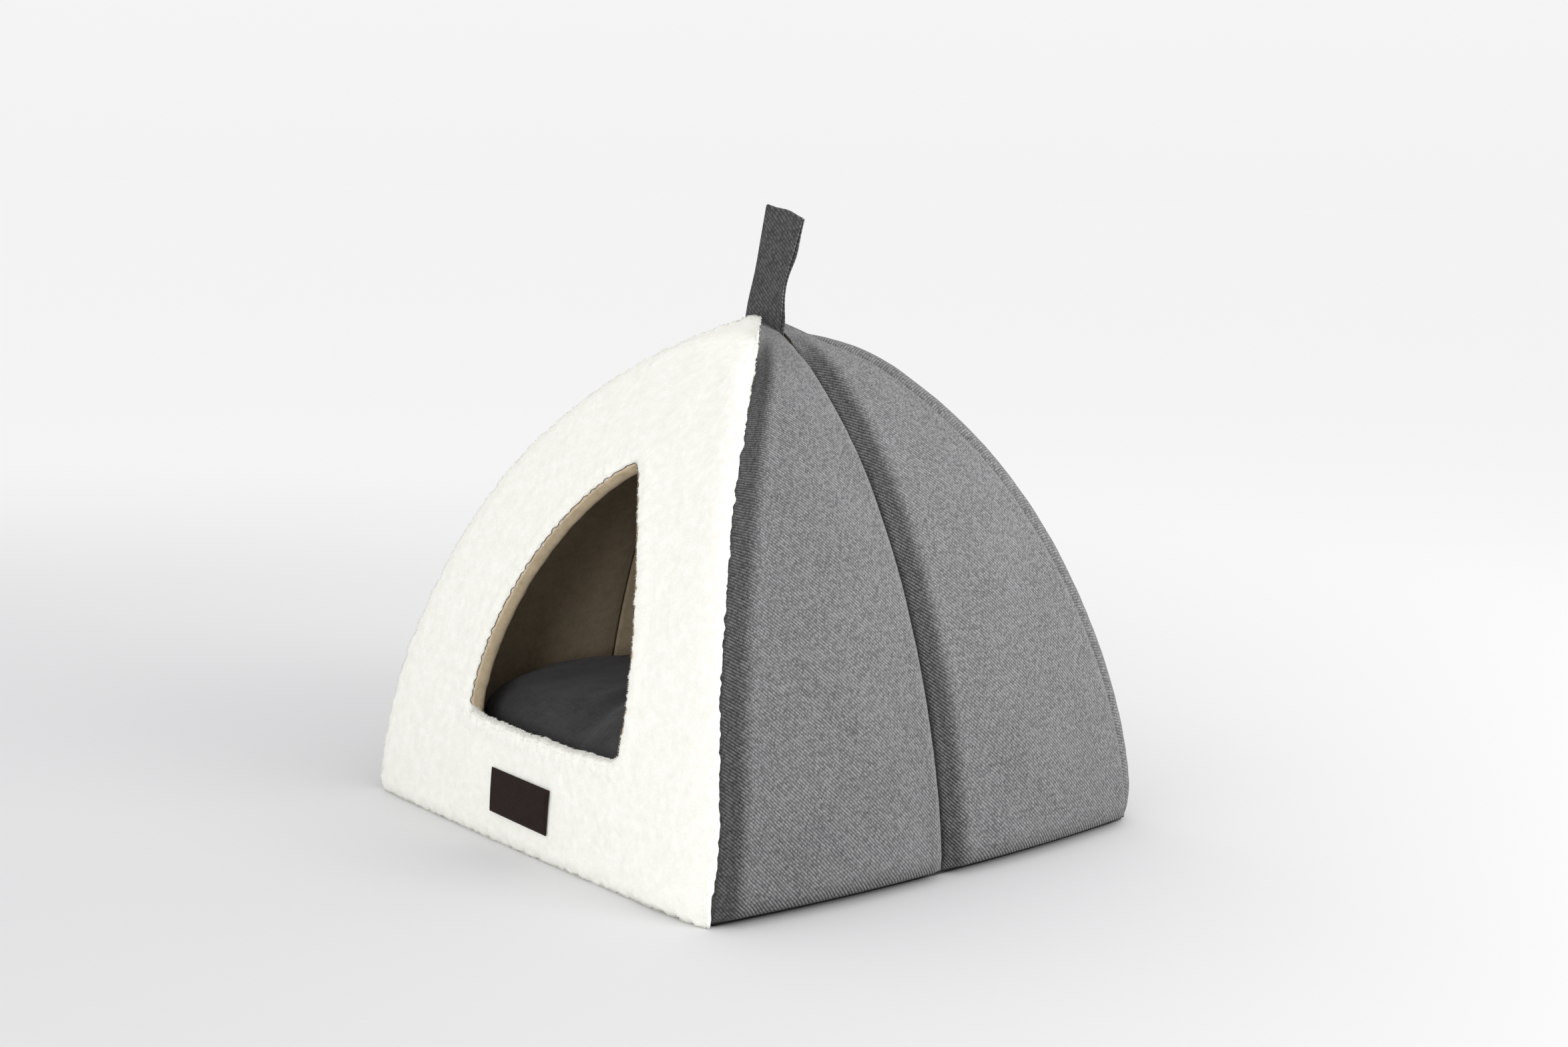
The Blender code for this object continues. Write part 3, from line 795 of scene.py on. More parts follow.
def doorway():
    """The doorway's closed line as (X, height), from the middle of its lower left corner."""
    turn = np.radians(np.linspace(0, 90, 41))
    half_turn = len(turn) // 2
    z = eased(600, DOOR_SILL + DOOR_CORNER, DOOR_TOP)
    half, middle = door_side(z)
    corners, sides = [], []
    for sign in (1, -1):
        x = DOOR_MIDDLE + sign * (DOOR_HALF - DOOR_CORNER * (1 - np.sin(turn)))
        corner = stacked(x, DOOR_SILL + DOOR_CORNER * (1 - np.cos(turn)))
        side = np.concatenate([corner[half_turn:], stacked(middle + sign * half, z)[1:]])
        length = np.linalg.norm(np.diff(side, axis=0), axis=1).sum()
        corners.append(corner[: half_turn + 1])
        sides.append(resampled(side, SIDE_POINTS, 0.0, length - ARCH_TIP))
    x = np.linspace(-1, 1, 200)
    sill = stacked(
        DOOR_MIDDLE + x * (DOOR_HALF - DOOR_CORNER), DOOR_SILL - DOOR_SILL_SAG * (1 - x * x)
    )
    low = resampled(np.concatenate([corners[1][::-1], sill[1:-1], corners[0]]), SILL_POINTS)
    up, down = sides[0], sides[1][::-1]
    top = [(up[-1] + down[0])[0] / 2, DOOR_TOP - ARCH_TIP_DROP]
    tip = smooth_line([up[-1], top, down[0]], ARCH_POINTS)
    return np.concatenate([low[:-1], up[:-1], tip[:-1], down[:-1]])


def panel_outline(foot, tip_half):
    """The front panel's outline as (share, height), one point for each doorway point."""
    low, high = slope_length(foot), slope_length(seam_height(tip_half))
    heights = height_of(np.linspace(low, high, SIDE_POINTS + 1))
    hem = stacked(np.linspace(-1, 1, SILL_POINTS + 1), foot)
    tip = stacked(np.linspace(1, -1, ARCH_POINTS + 1), heights[-1])
    right, left = stacked(1.0, heights), stacked(-1.0, heights[::-1])
    return np.concatenate([hem[:-1], right[:-1], tip[:-1], left[:-1]])


def outward_normals(line):
    along = np.roll(line, -1, axis=0) - np.roll(line, 1, axis=0)
    return unit(stacked(along[:, 1], -along[:, 0]))


def front_points(share, z, layer, foot):
    """Points of the front panel's layer, in wall coordinates."""
    extra = 0.0
    if layer == "face":
        bulge = bell(share - HEM_BULGE_AT, HEM_BULGE_WIDE) * bell(z, HEM_BULGE_HIGH)
        bulge = bulge * grow(z - foot, HEM_BULGE_START)
        extra = HEM_BULGE * bulge + foam("front", share, z, foot)
    return panel_points("front", share, z, layer, foot, extra=extra)


def door_loop(line, thickness_share, distance):
    """A loop beside the doorway, part of the way through the panel's thickness."""
    moved = line + np.reshape(distance, (-1, 1)) * outward_normals(line)
    share, z = moved[:, 0] / seam_half(moved[:, 1]), moved[:, 1]
    face = panel_points("front", share, z, "face", FLEECE_FOOT)
    back = panel_points("front", share, z, "back", WALL_FOOT)
    return back + np.reshape(thickness_share, (-1, 1)) * (face - back)


def at_sill(count):
    """1 for the doorway's points on the sill, 0 for the others, with soft ends."""
    number = np.arange(count)
    number = np.where(number > count // 2, number - count, number)
    left, right = SILL_ENDS
    return grow(number + left, 2 * left) * grow(SILL_POINTS + right - number, 2 * right)


def front_rings(line, outline, layer, foot, shares):
    """Loops between the doorway's line and the panel's outline."""
    start = line + DOOR_ROUND * outward_normals(line)
    start[:, 0] /= seam_half(start[:, 1])
    rings = []
    for share in shares:
        place = start + share * (outline - start)
        rings.append(front_points(place[:, 0], place[:, 1], layer, foot))
    return rings


def grid_normals(loops):
    """Outward unit normals of closed loops joined in order."""
    around = np.roll(loops, -1, axis=1) - np.roll(loops, 1, axis=1)
    through = np.gradient(loops, axis=0)
    return unit(np.cross(around, through))


# the pile's relief: how high its lumps are, how far it stands out, and how many rings that reaches
PILE_LUMPS = [(0.75, 0.0045, 5), (0.40, 0.0022, 4)]
PILE_LUMPY = {"face": 0.0004, "rim": 0.0008, "seams": 0.0011, "sill": 0.0019}
PILE_STANDS = {"rim": 0.0014, "seams": 0.0011, "sill": 0.0018}
AT_SEAMS, AT_RIM, OVER_SEAMS = 3.0, 4.0, 2.5
EDGE_START, EDGE_RISE, EDGE_FALL = 5, 6, 4
PILE_TURNS_IN = 9  # rings past the doorway's rim over which it ends
PILE_OVER = 0.0008  # how far it reaches over the seams, and the lumps of that
PILE_RAGGED = [(0.0010, 0.0065, 3), (0.0007, 0.0030, 2)]


def clumped(loops, face_count, edge_count, sill):
    """The loops with the pile's clumps, which stand out most at the doorway and the seams."""
    normal = grid_normals(loops)
    index = np.arange(len(loops))
    inner = face_count + PILE_TURNS_IN
    at_seams = bell(index, AT_SEAMS)
    at_rim = bell(index - face_count, AT_RIM) * (index < inner)
    at_edge = grow(index - face_count + EDGE_START, EDGE_RISE)
    at_edge = at_edge * grow(face_count + edge_count - index, EDGE_FALL)
    shown = np.where(index < face_count, 1, grow(inner - index, PILE_TURNS_IN))
    lumpy, stands = PILE_LUMPY, PILE_STANDS
    strength = lumpy["face"] * shown + lumpy["rim"] * at_rim + lumpy["seams"] * at_seams
    strength = np.maximum(strength[:, None], lumpy["sill"] * at_edge[:, None] * sill)
    stand = stands["seams"] * at_seams + stands["rim"] * at_rim
    stand = np.maximum(stand[:, None], stands["sill"] * at_edge[:, None] * sill)
    loops = loops + normal * (strength * lumps(loops, PILE_LUMPS) + stand)[..., None]
    # ragged pile reaches over the seams
    over = unit(loops[0] - loops[2], 1e-9)
    ragged = lumps(loops[0], PILE_RAGGED, PILE_OVER)
    reach = bell(index, OVER_SEAMS) * (index < face_count)
    loops = loops + reach[:, None, None] * (over * ragged[:, None])
    loops[..., 2] = np.maximum(loops[..., 2], HEM_Z)
    return loops


def make_fleece(line, sill):
    outer_line = panel_outline(FLEECE_FOOT, TIP_HALF)
    inner_line = panel_outline(WALL_FOOT, INNER_TIP_HALF)
    shares = np.linspace(0, 1, FACE_RINGS + 1)
    shares = 0.75 * shares + 0.25 * eased(FACE_RINGS, 0, 1)
    face = front_rings(line, outer_line, "face", FLEECE_FOOT, shares)
    back = front_rings(line, inner_line, "back", WALL_FOOT, np.linspace(0, 1, BACK_RINGS + 1)[1:])
    start = [(1.0, DOOR_ROUND)]
    profile = smooth_line(start + DOOR_EDGE, 14)[1:]
    edge = [door_loop(line, at, far + SILL_SLOPE * (1 - at) * sill) for at, far in profile]
    loops = wander(np.array([turned(p) for p in face[::-1] + edge + back]))
    loops = clumped(loops, len(face), len(profile), sill)
    panel = ringed("fleece_front", loops, CLOTHS["fleece"], True)
    finish_padded(panel, "front_panel")
    make_pile(loops[: len(face) + 5])


def make_doorway_lining(line, sill):
    """The lining of the front, turned out round the doorway, and behind the fleece at the sill."""
    inner_line = panel_outline(WALL_FOOT, INNER_TIP_HALF)
    shares = np.linspace(0, 1, LINING_RINGS + 1)[1:]
    hidden = front_rings(line, inner_line, "lining_back", WALL_FOOT, shares[::3])
    shown = front_rings(line, inner_line, "lining_face", WALL_FOOT, shares)
    shown_side = smooth_line(DOOR_LINING_SHOWN, LINING_SHOWN_STEPS)
    hidden_side = smooth_line(DOOR_LINING_HIDDEN, LINING_HIDDEN_STEPS)
    edge = []
    for thickness_share, distance in np.concatenate([shown_side, hidden_side]):
        low_share = min(thickness_share, LINING_SILL_SHARE)
        lower = SILL_SLOPE * (1 - low_share) + LINING_SILL_DROP * (distance < 0)
        shares_here = thickness_share + sill * (low_share - thickness_share)
        edge.append(door_loop(line, shares_here, distance + lower * sill))
    edge = np.array(edge)
    puckers = lumps(edge, LINING_PUCKERS)
    puckers[len(shown_side) :] = 0
    edge = edge + grid_normals(edge) * puckers[..., None]
    loops = [turned(p) for p in (*shown[::-1], *edge, *hidden)]
    lining = ringed("doorway_lining", wander(loops)[:, ::2], CLOTHS["lining"], True)
    finish_sheet(lining, "lining_front")


def make_front():
    line = doorway()
    sill = at_sill(len(line))
    make_fleece(line, sill)
    make_doorway_lining(line, sill)
    make_doorway_stitches(line)


PILE_TUFTS = 9000
DOOR_RING_STEP, OUTLINE_RING_STEP = 0.0017, 0.0018  # about how far apart the fleece's rings lie
# how thick the tufts stand on the open face, what is added at the doorway and the outline, and how
# far from them that reaches
FACE_TUFTS = 0.0005
DOOR_TUFTS, DOOR_TUFT_REACH = 4.0, 0.0035
OUTLINE_TUFTS, OUTLINE_TUFT_REACH = 2.0, 0.003
# the further share of tufts on the sill and the hem
SILL_TUFTS, SILL_TUFT_REACH = 1.5, 0.012
HEM_TUFTS = 0.6
TUFT_LENGTHS, TUFT_WIDTHS = (0.0012, 0.0021), (0.00014, 0.00026)
EDGE_TUFTS_LONGER, EDGE_REACH = 0.0008, 0.005
SILL_TUFTS_LONGER, SILL_RINGS = 0.0009, 9
TUFT_LIES_DOWN = (0, 0, -0.5)
TUFT_STANDS, EDGE_TUFT_STANDS = 0.25, 0.30
TUFT_SECTIONS = ((-0.15, 1.0), (0.5, 0.85), (0.95, 0.45))  # share of the length, of the width


def make_pile(loops):
    """Small curled tufts on the fleece, thickest along its edges."""
    random = np.random.default_rng(11)
    rings, count = loops.shape[:2]
    normal = grid_normals(loops)
    across = np.linalg.norm(np.gradient(loops, axis=0), axis=-1)
    around = np.linalg.norm(np.roll(loops, -1, axis=1) - loops, axis=-1)
    ring = np.arange(rings)[:, None]
    to_door, to_outline = (rings - 1 - ring) * DOOR_RING_STEP, ring * OUTLINE_RING_STEP
    low = np.arange(count)[None, :] < SILL_POINTS
    weight = FACE_TUFTS + DOOR_TUFTS * bell(to_door, DOOR_TUFT_REACH)
    weight = weight * (1 + SILL_TUFTS * low * (to_door < SILL_TUFT_REACH))
    weight = weight + OUTLINE_TUFTS * bell(to_outline, OUTLINE_TUFT_REACH) * (1 + HEM_TUFTS * low)
    chance = (across * around * weight)[1:-1].ravel()
    picked = random.choice(chance.size, PILE_TUFTS, p=chance / chance.sum())
    ring, place = picked // count + 1, picked % count
    here, up = loops[ring, place], normal[ring, place]
    here = here + (loops[ring, (place + 1) % count] - here) * random.random((PILE_TUFTS, 1))
    at_edge = bell(np.minimum(to_door, to_outline)[ring, 0], EDGE_REACH)
    length = random.uniform(*TUFT_LENGTHS, PILE_TUFTS)
    length = length + at_edge * random.uniform(0.0, EDGE_TUFTS_LONGER, PILE_TUFTS)
    on_sill = (place < SILL_POINTS) & (ring > rings - SILL_RINGS)
    length = (length + SILL_TUFTS_LONGER * on_sill)[:, None]
    width = random.uniform(*TUFT_WIDTHS, PILE_TUFTS)[:, None]
    lie = random.normal(size=(PILE_TUFTS, 3)) + TUFT_LIES_DOWN
    lie = unit(lie - up * np.sum(lie * up, axis=1, keepdims=True))
    side = np.cross(up, lie)
    stand = (TUFT_STANDS + EDGE_TUFT_STANDS * at_edge)[:, None]
    points = []
    for reach, thick in TUFT_SECTIONS:
        curl = stand * math.sin(reach * 2.2) if reach > 0 else -0.3
        middle = here + length * (lie * reach * (1 - 0.3 * reach) + up * curl)
        for turn in (0.5, 2.6, 4.7):
            points.append(middle + width * thick * (math.cos(turn) * side + math.sin(turn) * up))
    points.append(here + length * (lie * 0.8 + up * (stand * 0.35)))
    points = np.stack(points, axis=1)
    points[..., 2] = np.maximum(points[..., 2], HEM_Z)
    pattern = []
    for start in (0, 3):
        for k in range(3):
            a, b = start + k, start + (k + 1) % 3
            pattern += [(a, b, b + 3), (a, b + 3, a + 3)]
    pattern = np.array(pattern + [(6 + k, 6 + (k + 1) % 3, 9) for k in range(3)])
    faces = (pattern[None] + 10 * np.arange(PILE_TUFTS)[:, None, None]).reshape(-1, 3)
    points = points.reshape(-1, 3)
    pile = make_object("fleece_tufts", points, faces.tolist(), CLOTHS["fibre"])
    # light passes through so fine a pile, so it casts no shadow
    pile.visible_shadow = False
    pile.visible_diffuse = False
    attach(pile, "root")


def tube(name, line, radius, cloth, sides=6):
    """A thin round thread along a line."""
    along = unit(np.gradient(np.asarray(line), axis=0))
    first = unit(np.cross(along, (0.0, -1.0, 0.15)))
    second = np.cross(along, first)
    turn = np.linspace(0, 2 * np.pi, sides, endpoint=False)[None, :, None]
    rings = np.cos(turn) * first[:, None] + np.sin(turn) * second[:, None]
    return ringed(name, np.asarray(line)[:, None] + radius * rings, cloth, False)


STITCHES_AT, STITCHES_OUT = 0.905, -0.0008  # share of the thickness, distance from the line
STITCH_RADIUS = 0.0003
# how far the stitches wave through the thickness, how many times, and where each wave starts
STITCH_WAVES = [(0.034, 61, 0.0), (0.030, 97, 1.0)]
STITCH_SWAY, STITCH_SWAYS = 0.0003, 83


def make_doorway_stitches(line):
    """The dark edge stitches where the lining meets the fleece, a little wavy."""
    turn = 2 * np.pi * np.arange(len(line)) / len(line)
    share = STITCHES_AT + sum(far * np.sin(n * turn + start) for far, n, start in STITCH_WAVES)
    out = STITCHES_OUT + STITCH_SWAY * np.sin(STITCH_SWAYS * turn)
    path = wander(turned(door_loop(line, share, out)))[SILL_POINTS + 2 : -2]
    stitches = tube("doorway_stitches", path, STITCH_RADIUS, CLOTHS["doorway_stitch"], 5)
    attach(stitches, "root")


# Base and cushion -------------------------------------------------------------------------------
BASE_STEPS = 60
BASE_SECTIONS = [  # how far inside the walls' line, the same at the front, height
    (0.1000, 0.1000, 0.0),
    (0.0080, 0.0090, 0.0),
    (0.0030, 0.0050, 0.0),
    (0.0019, 0.0043, 0.0005),
    (0.0015, 0.0040, 0.0014),
    (0.0015, 0.0040, 0.0030),
    (0.0019, 0.0043, BASE_RIM),
    (0.0110, 0.0110, BASE_RIM),
    (0.0120, 0.0120, 0.0090),
    (0.0150, 0.0150, 0.0120),
    (0.1000, 0.1000, 0.0120),
]


def base_loop(inset, front_inset, z):
    share = np.linspace(-1, 1, BASE_STEPS + 1)[:-1]
    sides = []
    for shape in WALLS.values():
        outward = HALF_BASE + shape.bow * (1 - share**2)
        sides.append(turned(stacked(share * HALF_BASE, outward, z), shape.turns))
    loop = np.concatenate(sides)
    loop[:, 0] *= 1 - inset / HALF_BASE
    loop[:, 1] *= 1 - np.where(loop[:, 1] < 0, front_inset, inset) / HALF_BASE
    return loop


def make_base():
    loops = np.array([base_loop(*section) for section in BASE_SECTIONS])
    base = ringed("base_board", loops, CLOTHS["base"], False)
    finish_padded(base, "base_pad")


CUSHION_START = [(0.60, 0.0150), (0.85, 0.0150), (0.93, 0.0200), (0.97, 0.0290)]
CUSHION_START += [(0.985, 0.0440), (0.985, 0.0640), (0.970, 0.0760), (0.930, 0.0840)]
CUSHION_START += [(0.84, 0.0890), (0.62, 0.0920), (0.33, 0.0930)]  # share of its reach, height
CUSHION_VOXEL = 0.006
CUSHION_PRESSURE = 4.0
CUSHION_FRAMES = 20
CUSHION_CAP = 0.0055  # the most that the pressure moves a point
CUSHION_FLOOR = 0.0123


def cushion_reach(angles):
    power = CUSHION_SQUARE
    reach = (np.abs(np.cos(angles)) ** power + np.abs(np.sin(angles)) ** power) ** (-1 / power)
    return CUSHION_HALF * reach * (1 - CUSHION_DRAW * (1 + np.cos(4 * angles)) / 2)


def vertices_of(mesh):
    found = np.zeros(len(mesh.vertices) * 3)
    mesh.vertices.foreach_get("co", found)
    return found.reshape(-1, 3)


def set_vertices(mesh, points):
    mesh.vertices.foreach_set("co", points.ravel())
    mesh.update()


def apply_modifiers(obj):
    """Puts what the modifiers make into the mesh itself."""
    graph = bpy.context.evaluated_depsgraph_get()
    made = bpy.data.meshes.new_from_object(obj.evaluated_get(graph))
    obj.modifiers.clear()
    obj.data = made


def make_cushion():
    """A slack cushion blown up a little by cloth simulation, flat where it rests."""
    angles = np.linspace(0, 2 * np.pi, 96, endpoint=False)
    reach = cushion_reach(angles)
    around = stacked(reach * np.cos(angles), reach * np.sin(angles), 0.0)
    loops = [share * around + (0, 0, z) for share, z in CUSHION_START]
    cushion = ringed("charcoal_cushion", loops, CLOTHS["cushion"], False)
    remesh = cushion.modifiers.new("remesh", "REMESH")
    remesh.mode = "VOXEL"
    remesh.voxel_size = CUSHION_VOXEL
    apply_modifiers(cushion)
    start = vertices_of(cushion.data)
    blow = cushion.modifiers.new("cloth", "CLOTH")
    blow.settings.use_pressure = True
    blow.settings.uniform_pressure_force = CUSHION_PRESSURE
    blow.settings.effector_weights.gravity = 0.0
    blow.settings.quality = 5
    blow.collision_settings.use_collision = False
    for number in range(1, CUSHION_FRAMES + 1):
        bpy.context.scene.frame_set(number)
    apply_modifiers(cushion)
    bpy.context.scene.frame_set(1)
    move = vertices_of(cushion.data) - start
    size = np.linalg.norm(move, axis=1, keepdims=True)
    points = start + move * np.minimum(1.0, CUSHION_CAP / np.maximum(size, 1e-9))
    points[:, 2] = np.clip(points[:, 2], CUSHION_FLOOR, CUSHION_CROWN)
    set_vertices(cushion.data, points)
    smooth = cushion.modifiers.new("smooth", "SUBSURF")
    smooth.levels = smooth.render_levels = 1
    apply_modifiers(cushion)
    points = vertices_of(cushion.data)
    points = points + crumple(points)
    points[:, 2] = np.maximum(points[:, 2], CUSHION_FLOOR)
    set_vertices(cushion.data, points)
    cushion.data.shade_smooth()
    cushion.data.materials.clear()
    cushion.data.materials.append(CLOTHS["cushion"])
    finish_padded(cushion, "cushion")


CREASE = np.array([(-0.012, -0.095), (0.013, -0.178)])  # ends of the soft crease on the top
CREASE_DEPTH, CREASE_WIDTH = 0.0022, 0.010
BRIM, BRIM_AT = 0.0010, 0.016  # the cloth rises beside the crease
CUSHION_LUMPS = [(0.0012, 0.035, 1), (0.0005, 0.013, 2)]
CUSHION_TOP, CUSHION_TOP_FADE = 0.060, 0.020
SIDE_SEAM_Z, SIDE_SEAM_DEPTH, SIDE_SEAM_WIDTH = 0.050, 0.0020, 0.0035


def crumple(points):
    """Soft waves and a crease on the top, and a seam round the middle of the side."""
    a, run = CREASE[0], CREASE[1] - CREASE[0]
    along = grow((points[:, :2] - a) @ run, np.dot(run, run))
    distance = np.linalg.norm(points[:, :2] - (a + along[:, None] * run), axis=1)
    top = grow(points[:, 2] - CUSHION_TOP, CUSHION_TOP_FADE)
    rise = BRIM * bell(distance - BRIM_AT, CREASE_WIDTH)
    rise = rise - CREASE_DEPTH * bell(distance, CREASE_WIDTH)
    rise = lumps(points, CUSHION_LUMPS, rise)
    seam = -SIDE_SEAM_DEPTH * bell(points[:, 2] - SIDE_SEAM_Z, SIDE_SEAM_WIDTH)
    sides = unit(points * (1, 1, 0), 1e-6)
    return stacked(0.0, 0.0, rise * top) + sides * (seam * (1 - top))[:, None]


# Strap and patch --------------------------------------------------------------------------------
STRAP_SECTIONS = [  # height, X of the middle, twist in degrees, gap between the plies
    (0.357, 0.0020, 0.0, 0.0004),
    (0.375, 0.0048, 2.0, 0.0004),
    (0.400, 0.0100, 8.0, 0.0004),
    (0.425, 0.0180, 3.5, 0.0008),
    (0.4465, 0.0243, 0.0, 0.0006),
]
STRAP_STEPS = 199
STRAP_ROWS = 70
# where the rear ply stands out beside the front one: height, reach up and down, how far
STRAP_SLIPS = [(0.421, 0.012, 0.0018), (0.370, 0.012, 0.0024)]
STRAP_HUMP = 0.0016  # how far the fold rises in the middle
STRAP_HUMP_AT, STRAP_HUMP_WIDE, STRAP_HUMP_HIGH = 0.15, 0.5, 0.008


def make_strap():
    """The strap: up in front, over the fold and down behind, as one flat tube."""
    heights, *columns = np.array(STRAP_SECTIONS).T
    lines = [smooth_line(stacked(heights, column), STRAP_STEPS).T for column in columns]
    levels = np.linspace(heights[0], heights[-1], STRAP_ROWS)
    stations = [(z, 0.0) for z in levels]
    stations += [(levels[-1], turn) for turn in np.radians(np.arange(12, 180, 12))]
    stations += [(z, math.pi) for z in levels[::-1]]
    # a flat section with rounded long edges: share of the width, share of the thickness
    section = [(s, 0.0) for s in np.linspace(-0.94, 0.94, 24)]
    section += [(0.985, 0.08), (1.0, 0.3), (1.0, 0.7), (0.985, 0.92)]
    section += [(s, 1.0) for s in np.linspace(0.94, -0.94, 24)]
    section += [(-0.985, 0.92), (-1.0, 0.7), (-1.0, 0.3), (-0.985, 0.08)]
    across, through = np.array(section).T[..., None]
    cos_lean, sin_lean = math.cos(STRAP_LEAN), math.sin(STRAP_LEAN)
    rising = np.array([sin_lean, 0.0, cos_lean])
    hump = STRAP_HUMP * bell(across - STRAP_HUMP_AT, STRAP_HUMP_WIDE)
    loops, flat, run, last = [], [], 0.0, None
    for z, turn in stations:
        x, twist, gap = (np.interp(z, *line) for line in lines)
        middle, twist, half_gap = np.array([x, 0.0, z]), math.radians(twist), gap / 2
        cos_twist, sin_twist = math.cos(twist), math.sin(twist)
        wide = np.array([cos_lean * cos_twist, -sin_twist, -sin_lean * cos_twist])
        away = math.cos(turn) * unit(np.cross(wide, rising)) + math.sin(turn) * rising
        centre = middle + away * (half_gap + STRAP_PLY / 2)
        run += 0.0 if last is None else np.linalg.norm(centre - last)
        last = centre
        slip = sum(far * bell(z - at, reach) for at, reach, far in STRAP_SLIPS)
        width = (across * STRAP_WIDE / 2 + (slip if turn == math.pi else 0.0)) * wide
        width = width + hump * bell(levels[-1] - z, STRAP_HUMP_HIGH) * rising
        loops.append(middle + width + away * (half_gap + STRAP_PLY * through))
        flat.append(stacked(across[:, 0] * STRAP_WIDE / 2, run))
    strap = ringed("strap_loop", loops, CLOTHS["strap"], False, flat)
    finish_sheet(strap, "handle_strap")


# top left, top right, bottom left, bottom right, as X and height
PATCH_CORNERS = [(-0.0403, 0.0525), (0.0306, 0.0513), (-0.0377, 0.0223), (0.0320, 0.0207)]
PATCH_SIZE = (0.0709, 0.0302)
PATCH_ROWS, PATCH_COLUMNS = 24, 56
PATCH_THICK = 0.0014
PATCH_LIFT = 0.0005
PATCH_EDGE, PATCH_EDGE_SHARE = 0.0012, 0.45  # width of its rounded edge, and its share there


def make_patch():
    down, across = np.meshgrid(
        np.linspace(0, 1, PATCH_ROWS), np.linspace(0, 1, PATCH_COLUMNS), indexing="ij"
    )
    top_left, top_right, bottom_left, bottom_right = np.array(PATCH_CORNERS)
    top = top_left + across[..., None] * (top_right - top_left)
    low = bottom_left + across[..., None] * (bottom_right - bottom_left)
    x, z = np.moveaxis(top + down[..., None] * (low - top), -1, 0)
    surface = panel_points("front", x / seam_half(z), z, "face", FLEECE_FOOT)
    normal = stacked(0.0, *lean(z))
    shares = (across, 1 - across), (down, 1 - down)
    edge = np.minimum(*(np.minimum(*pair) * size for pair, size in zip(shares, PATCH_SIZE)))
    thick = PATCH_EDGE_SHARE + (1 - PATCH_EDGE_SHARE) * outer_rise(edge, PATCH_EDGE)
    under = surface + PATCH_LIFT * normal
    over = under + (PATCH_THICK * thick)[..., None] * normal
    patch = shell("bare_patch", turned(over)[::-1], turned(under)[::-1], CLOTHS["leather"])
    finish_sheet(patch, "label")


# Seams ------------------------------------------------------------------------------------------
SEAM_END = 0.040  # half width of the wall at which the thread ends, below the strap
SEAM_ROWS = 260
SEAM_RADIUS = 0.0008
SEAM_DEPTH = 0.55  # share of the panel's thickness, from inside


def make_seam_threads():
    """A thread drawn tight along the middle seam of each side wall."""
    for wall in ("right", "left"):
        z = wall_rows("face", SEAM_ROWS)
        z = z[seam_half(z) > SEAM_END]
        zero = np.zeros_like(z)
        points = panel_points(wall, zero, z, "back", from_middle=zero)
        face = panel_points(wall, zero, z, "face", from_middle=zero)
        points = points + SEAM_DEPTH * (face - points)
        points[:, 0] += off_middle(wall, zero, seam_half(z))
        path = turned(points, WALLS[wall].turns)
        seam = tube(f"{wall}_middle_seam", path, SEAM_RADIUS, CLOTHS["seam"])
        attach(seam, "root")


# Floor, camera, light ---------------------------------------------------------------------------
PHOTO_WIDTH = 2349  # pixels
FOCAL_PIXELS = 3283.0
CAMERA_PLACE = (1.2321, -1.0454, 0.4737)
CAMERA_YAW, CAMERA_PITCH, CAMERA_ROLL = 0.8544, 0.15759, 0.02491  # radians

HORIZON = (0.895, 0.895, 0.898)
SKY = (0.94, 0.94, 0.94)
KEY_PLACE, KEY_SIZE = (1.52, 1.04, 1.08), (0.75, 0.60)
FILL_PLACE, FILL_SIZE = (0.95, -1.65, 0.50), (0.6, 0.5)
LAMPS = [  # name, place, what it looks at, size, power
    ("key", KEY_PLACE, (0.11, -0.15, 0.20), KEY_SIZE, 13.9),
    ("side", (1.7, 0.6, 1.2), (0.3, 0, 0.0), (0.8, 0.8), 9.0),
    ("fill", FILL_PLACE, (0, 0, 0.15), FILL_SIZE, 17.0),
    ("soft_key", KEY_PLACE, (0, 0, 0.18), KEY_SIZE, 27.0),
    ("soft_fill", FILL_PLACE, (0, 0, 0.15), FILL_SIZE, 11.5),
    ("left", (-1.60, -0.70, 0.90), (0, 0, 0.15), (0.8, 0.8), 40.0),
]
KEY_SPREAD = math.radians(60)  # a grid narrows the key's beam


def make_camera():
    cos_y, sin_y = math.cos(CAMERA_YAW), math.sin(CAMERA_YAW)
    cos_p, sin_p = math.cos(CAMERA_PITCH), math.sin(CAMERA_PITCH)
    forward = np.array([-sin_y * cos_p, cos_y * cos_p, -sin_p])
    right = np.array([cos_y, sin_y, 0.0])
    up = np.cross(right, forward)
    cos_r, sin_r = math.cos(CAMERA_ROLL), math.sin(CAMERA_ROLL)
    right, up = cos_r * right + sin_r * up, -sin_r * right + cos_r * up
    data = bpy.data.cameras.new("camera")
    data.sensor_width = 36.0
    data.sensor_fit = "HORIZONTAL"
    data.lens = FOCAL_PIXELS * data.sensor_width / PHOTO_WIDTH
    data.dof.use_dof = False
    data.clip_start, data.clip_end = 0.05, 50.0
    turn = Matrix(stacked(right, up, -forward).tolist())
    bpy.context.scene.camera = placed("camera", data, CAMERA_PLACE, turn.to_quaternion())


def placed(name, data, place, turn):
    obj = bpy.data.objects.new(name, data)
    bpy.context.scene.collection.objects.link(obj)
    obj.matrix_world = Matrix.LocRotScale(Vector(place), turn, None)
    return obj


def area_light(name, place, target, size, power):
    data = bpy.data.lights.new(name, "AREA")
    data.shape = "RECTANGLE"
    data.size, data.size_y = size
    data.energy = power
    way = Vector(target) - Vector(place)
    lamp = placed(name, data, place, way.to_track_quat("-Z", "Y"))
    lamp.visible_camera = False
    return lamp


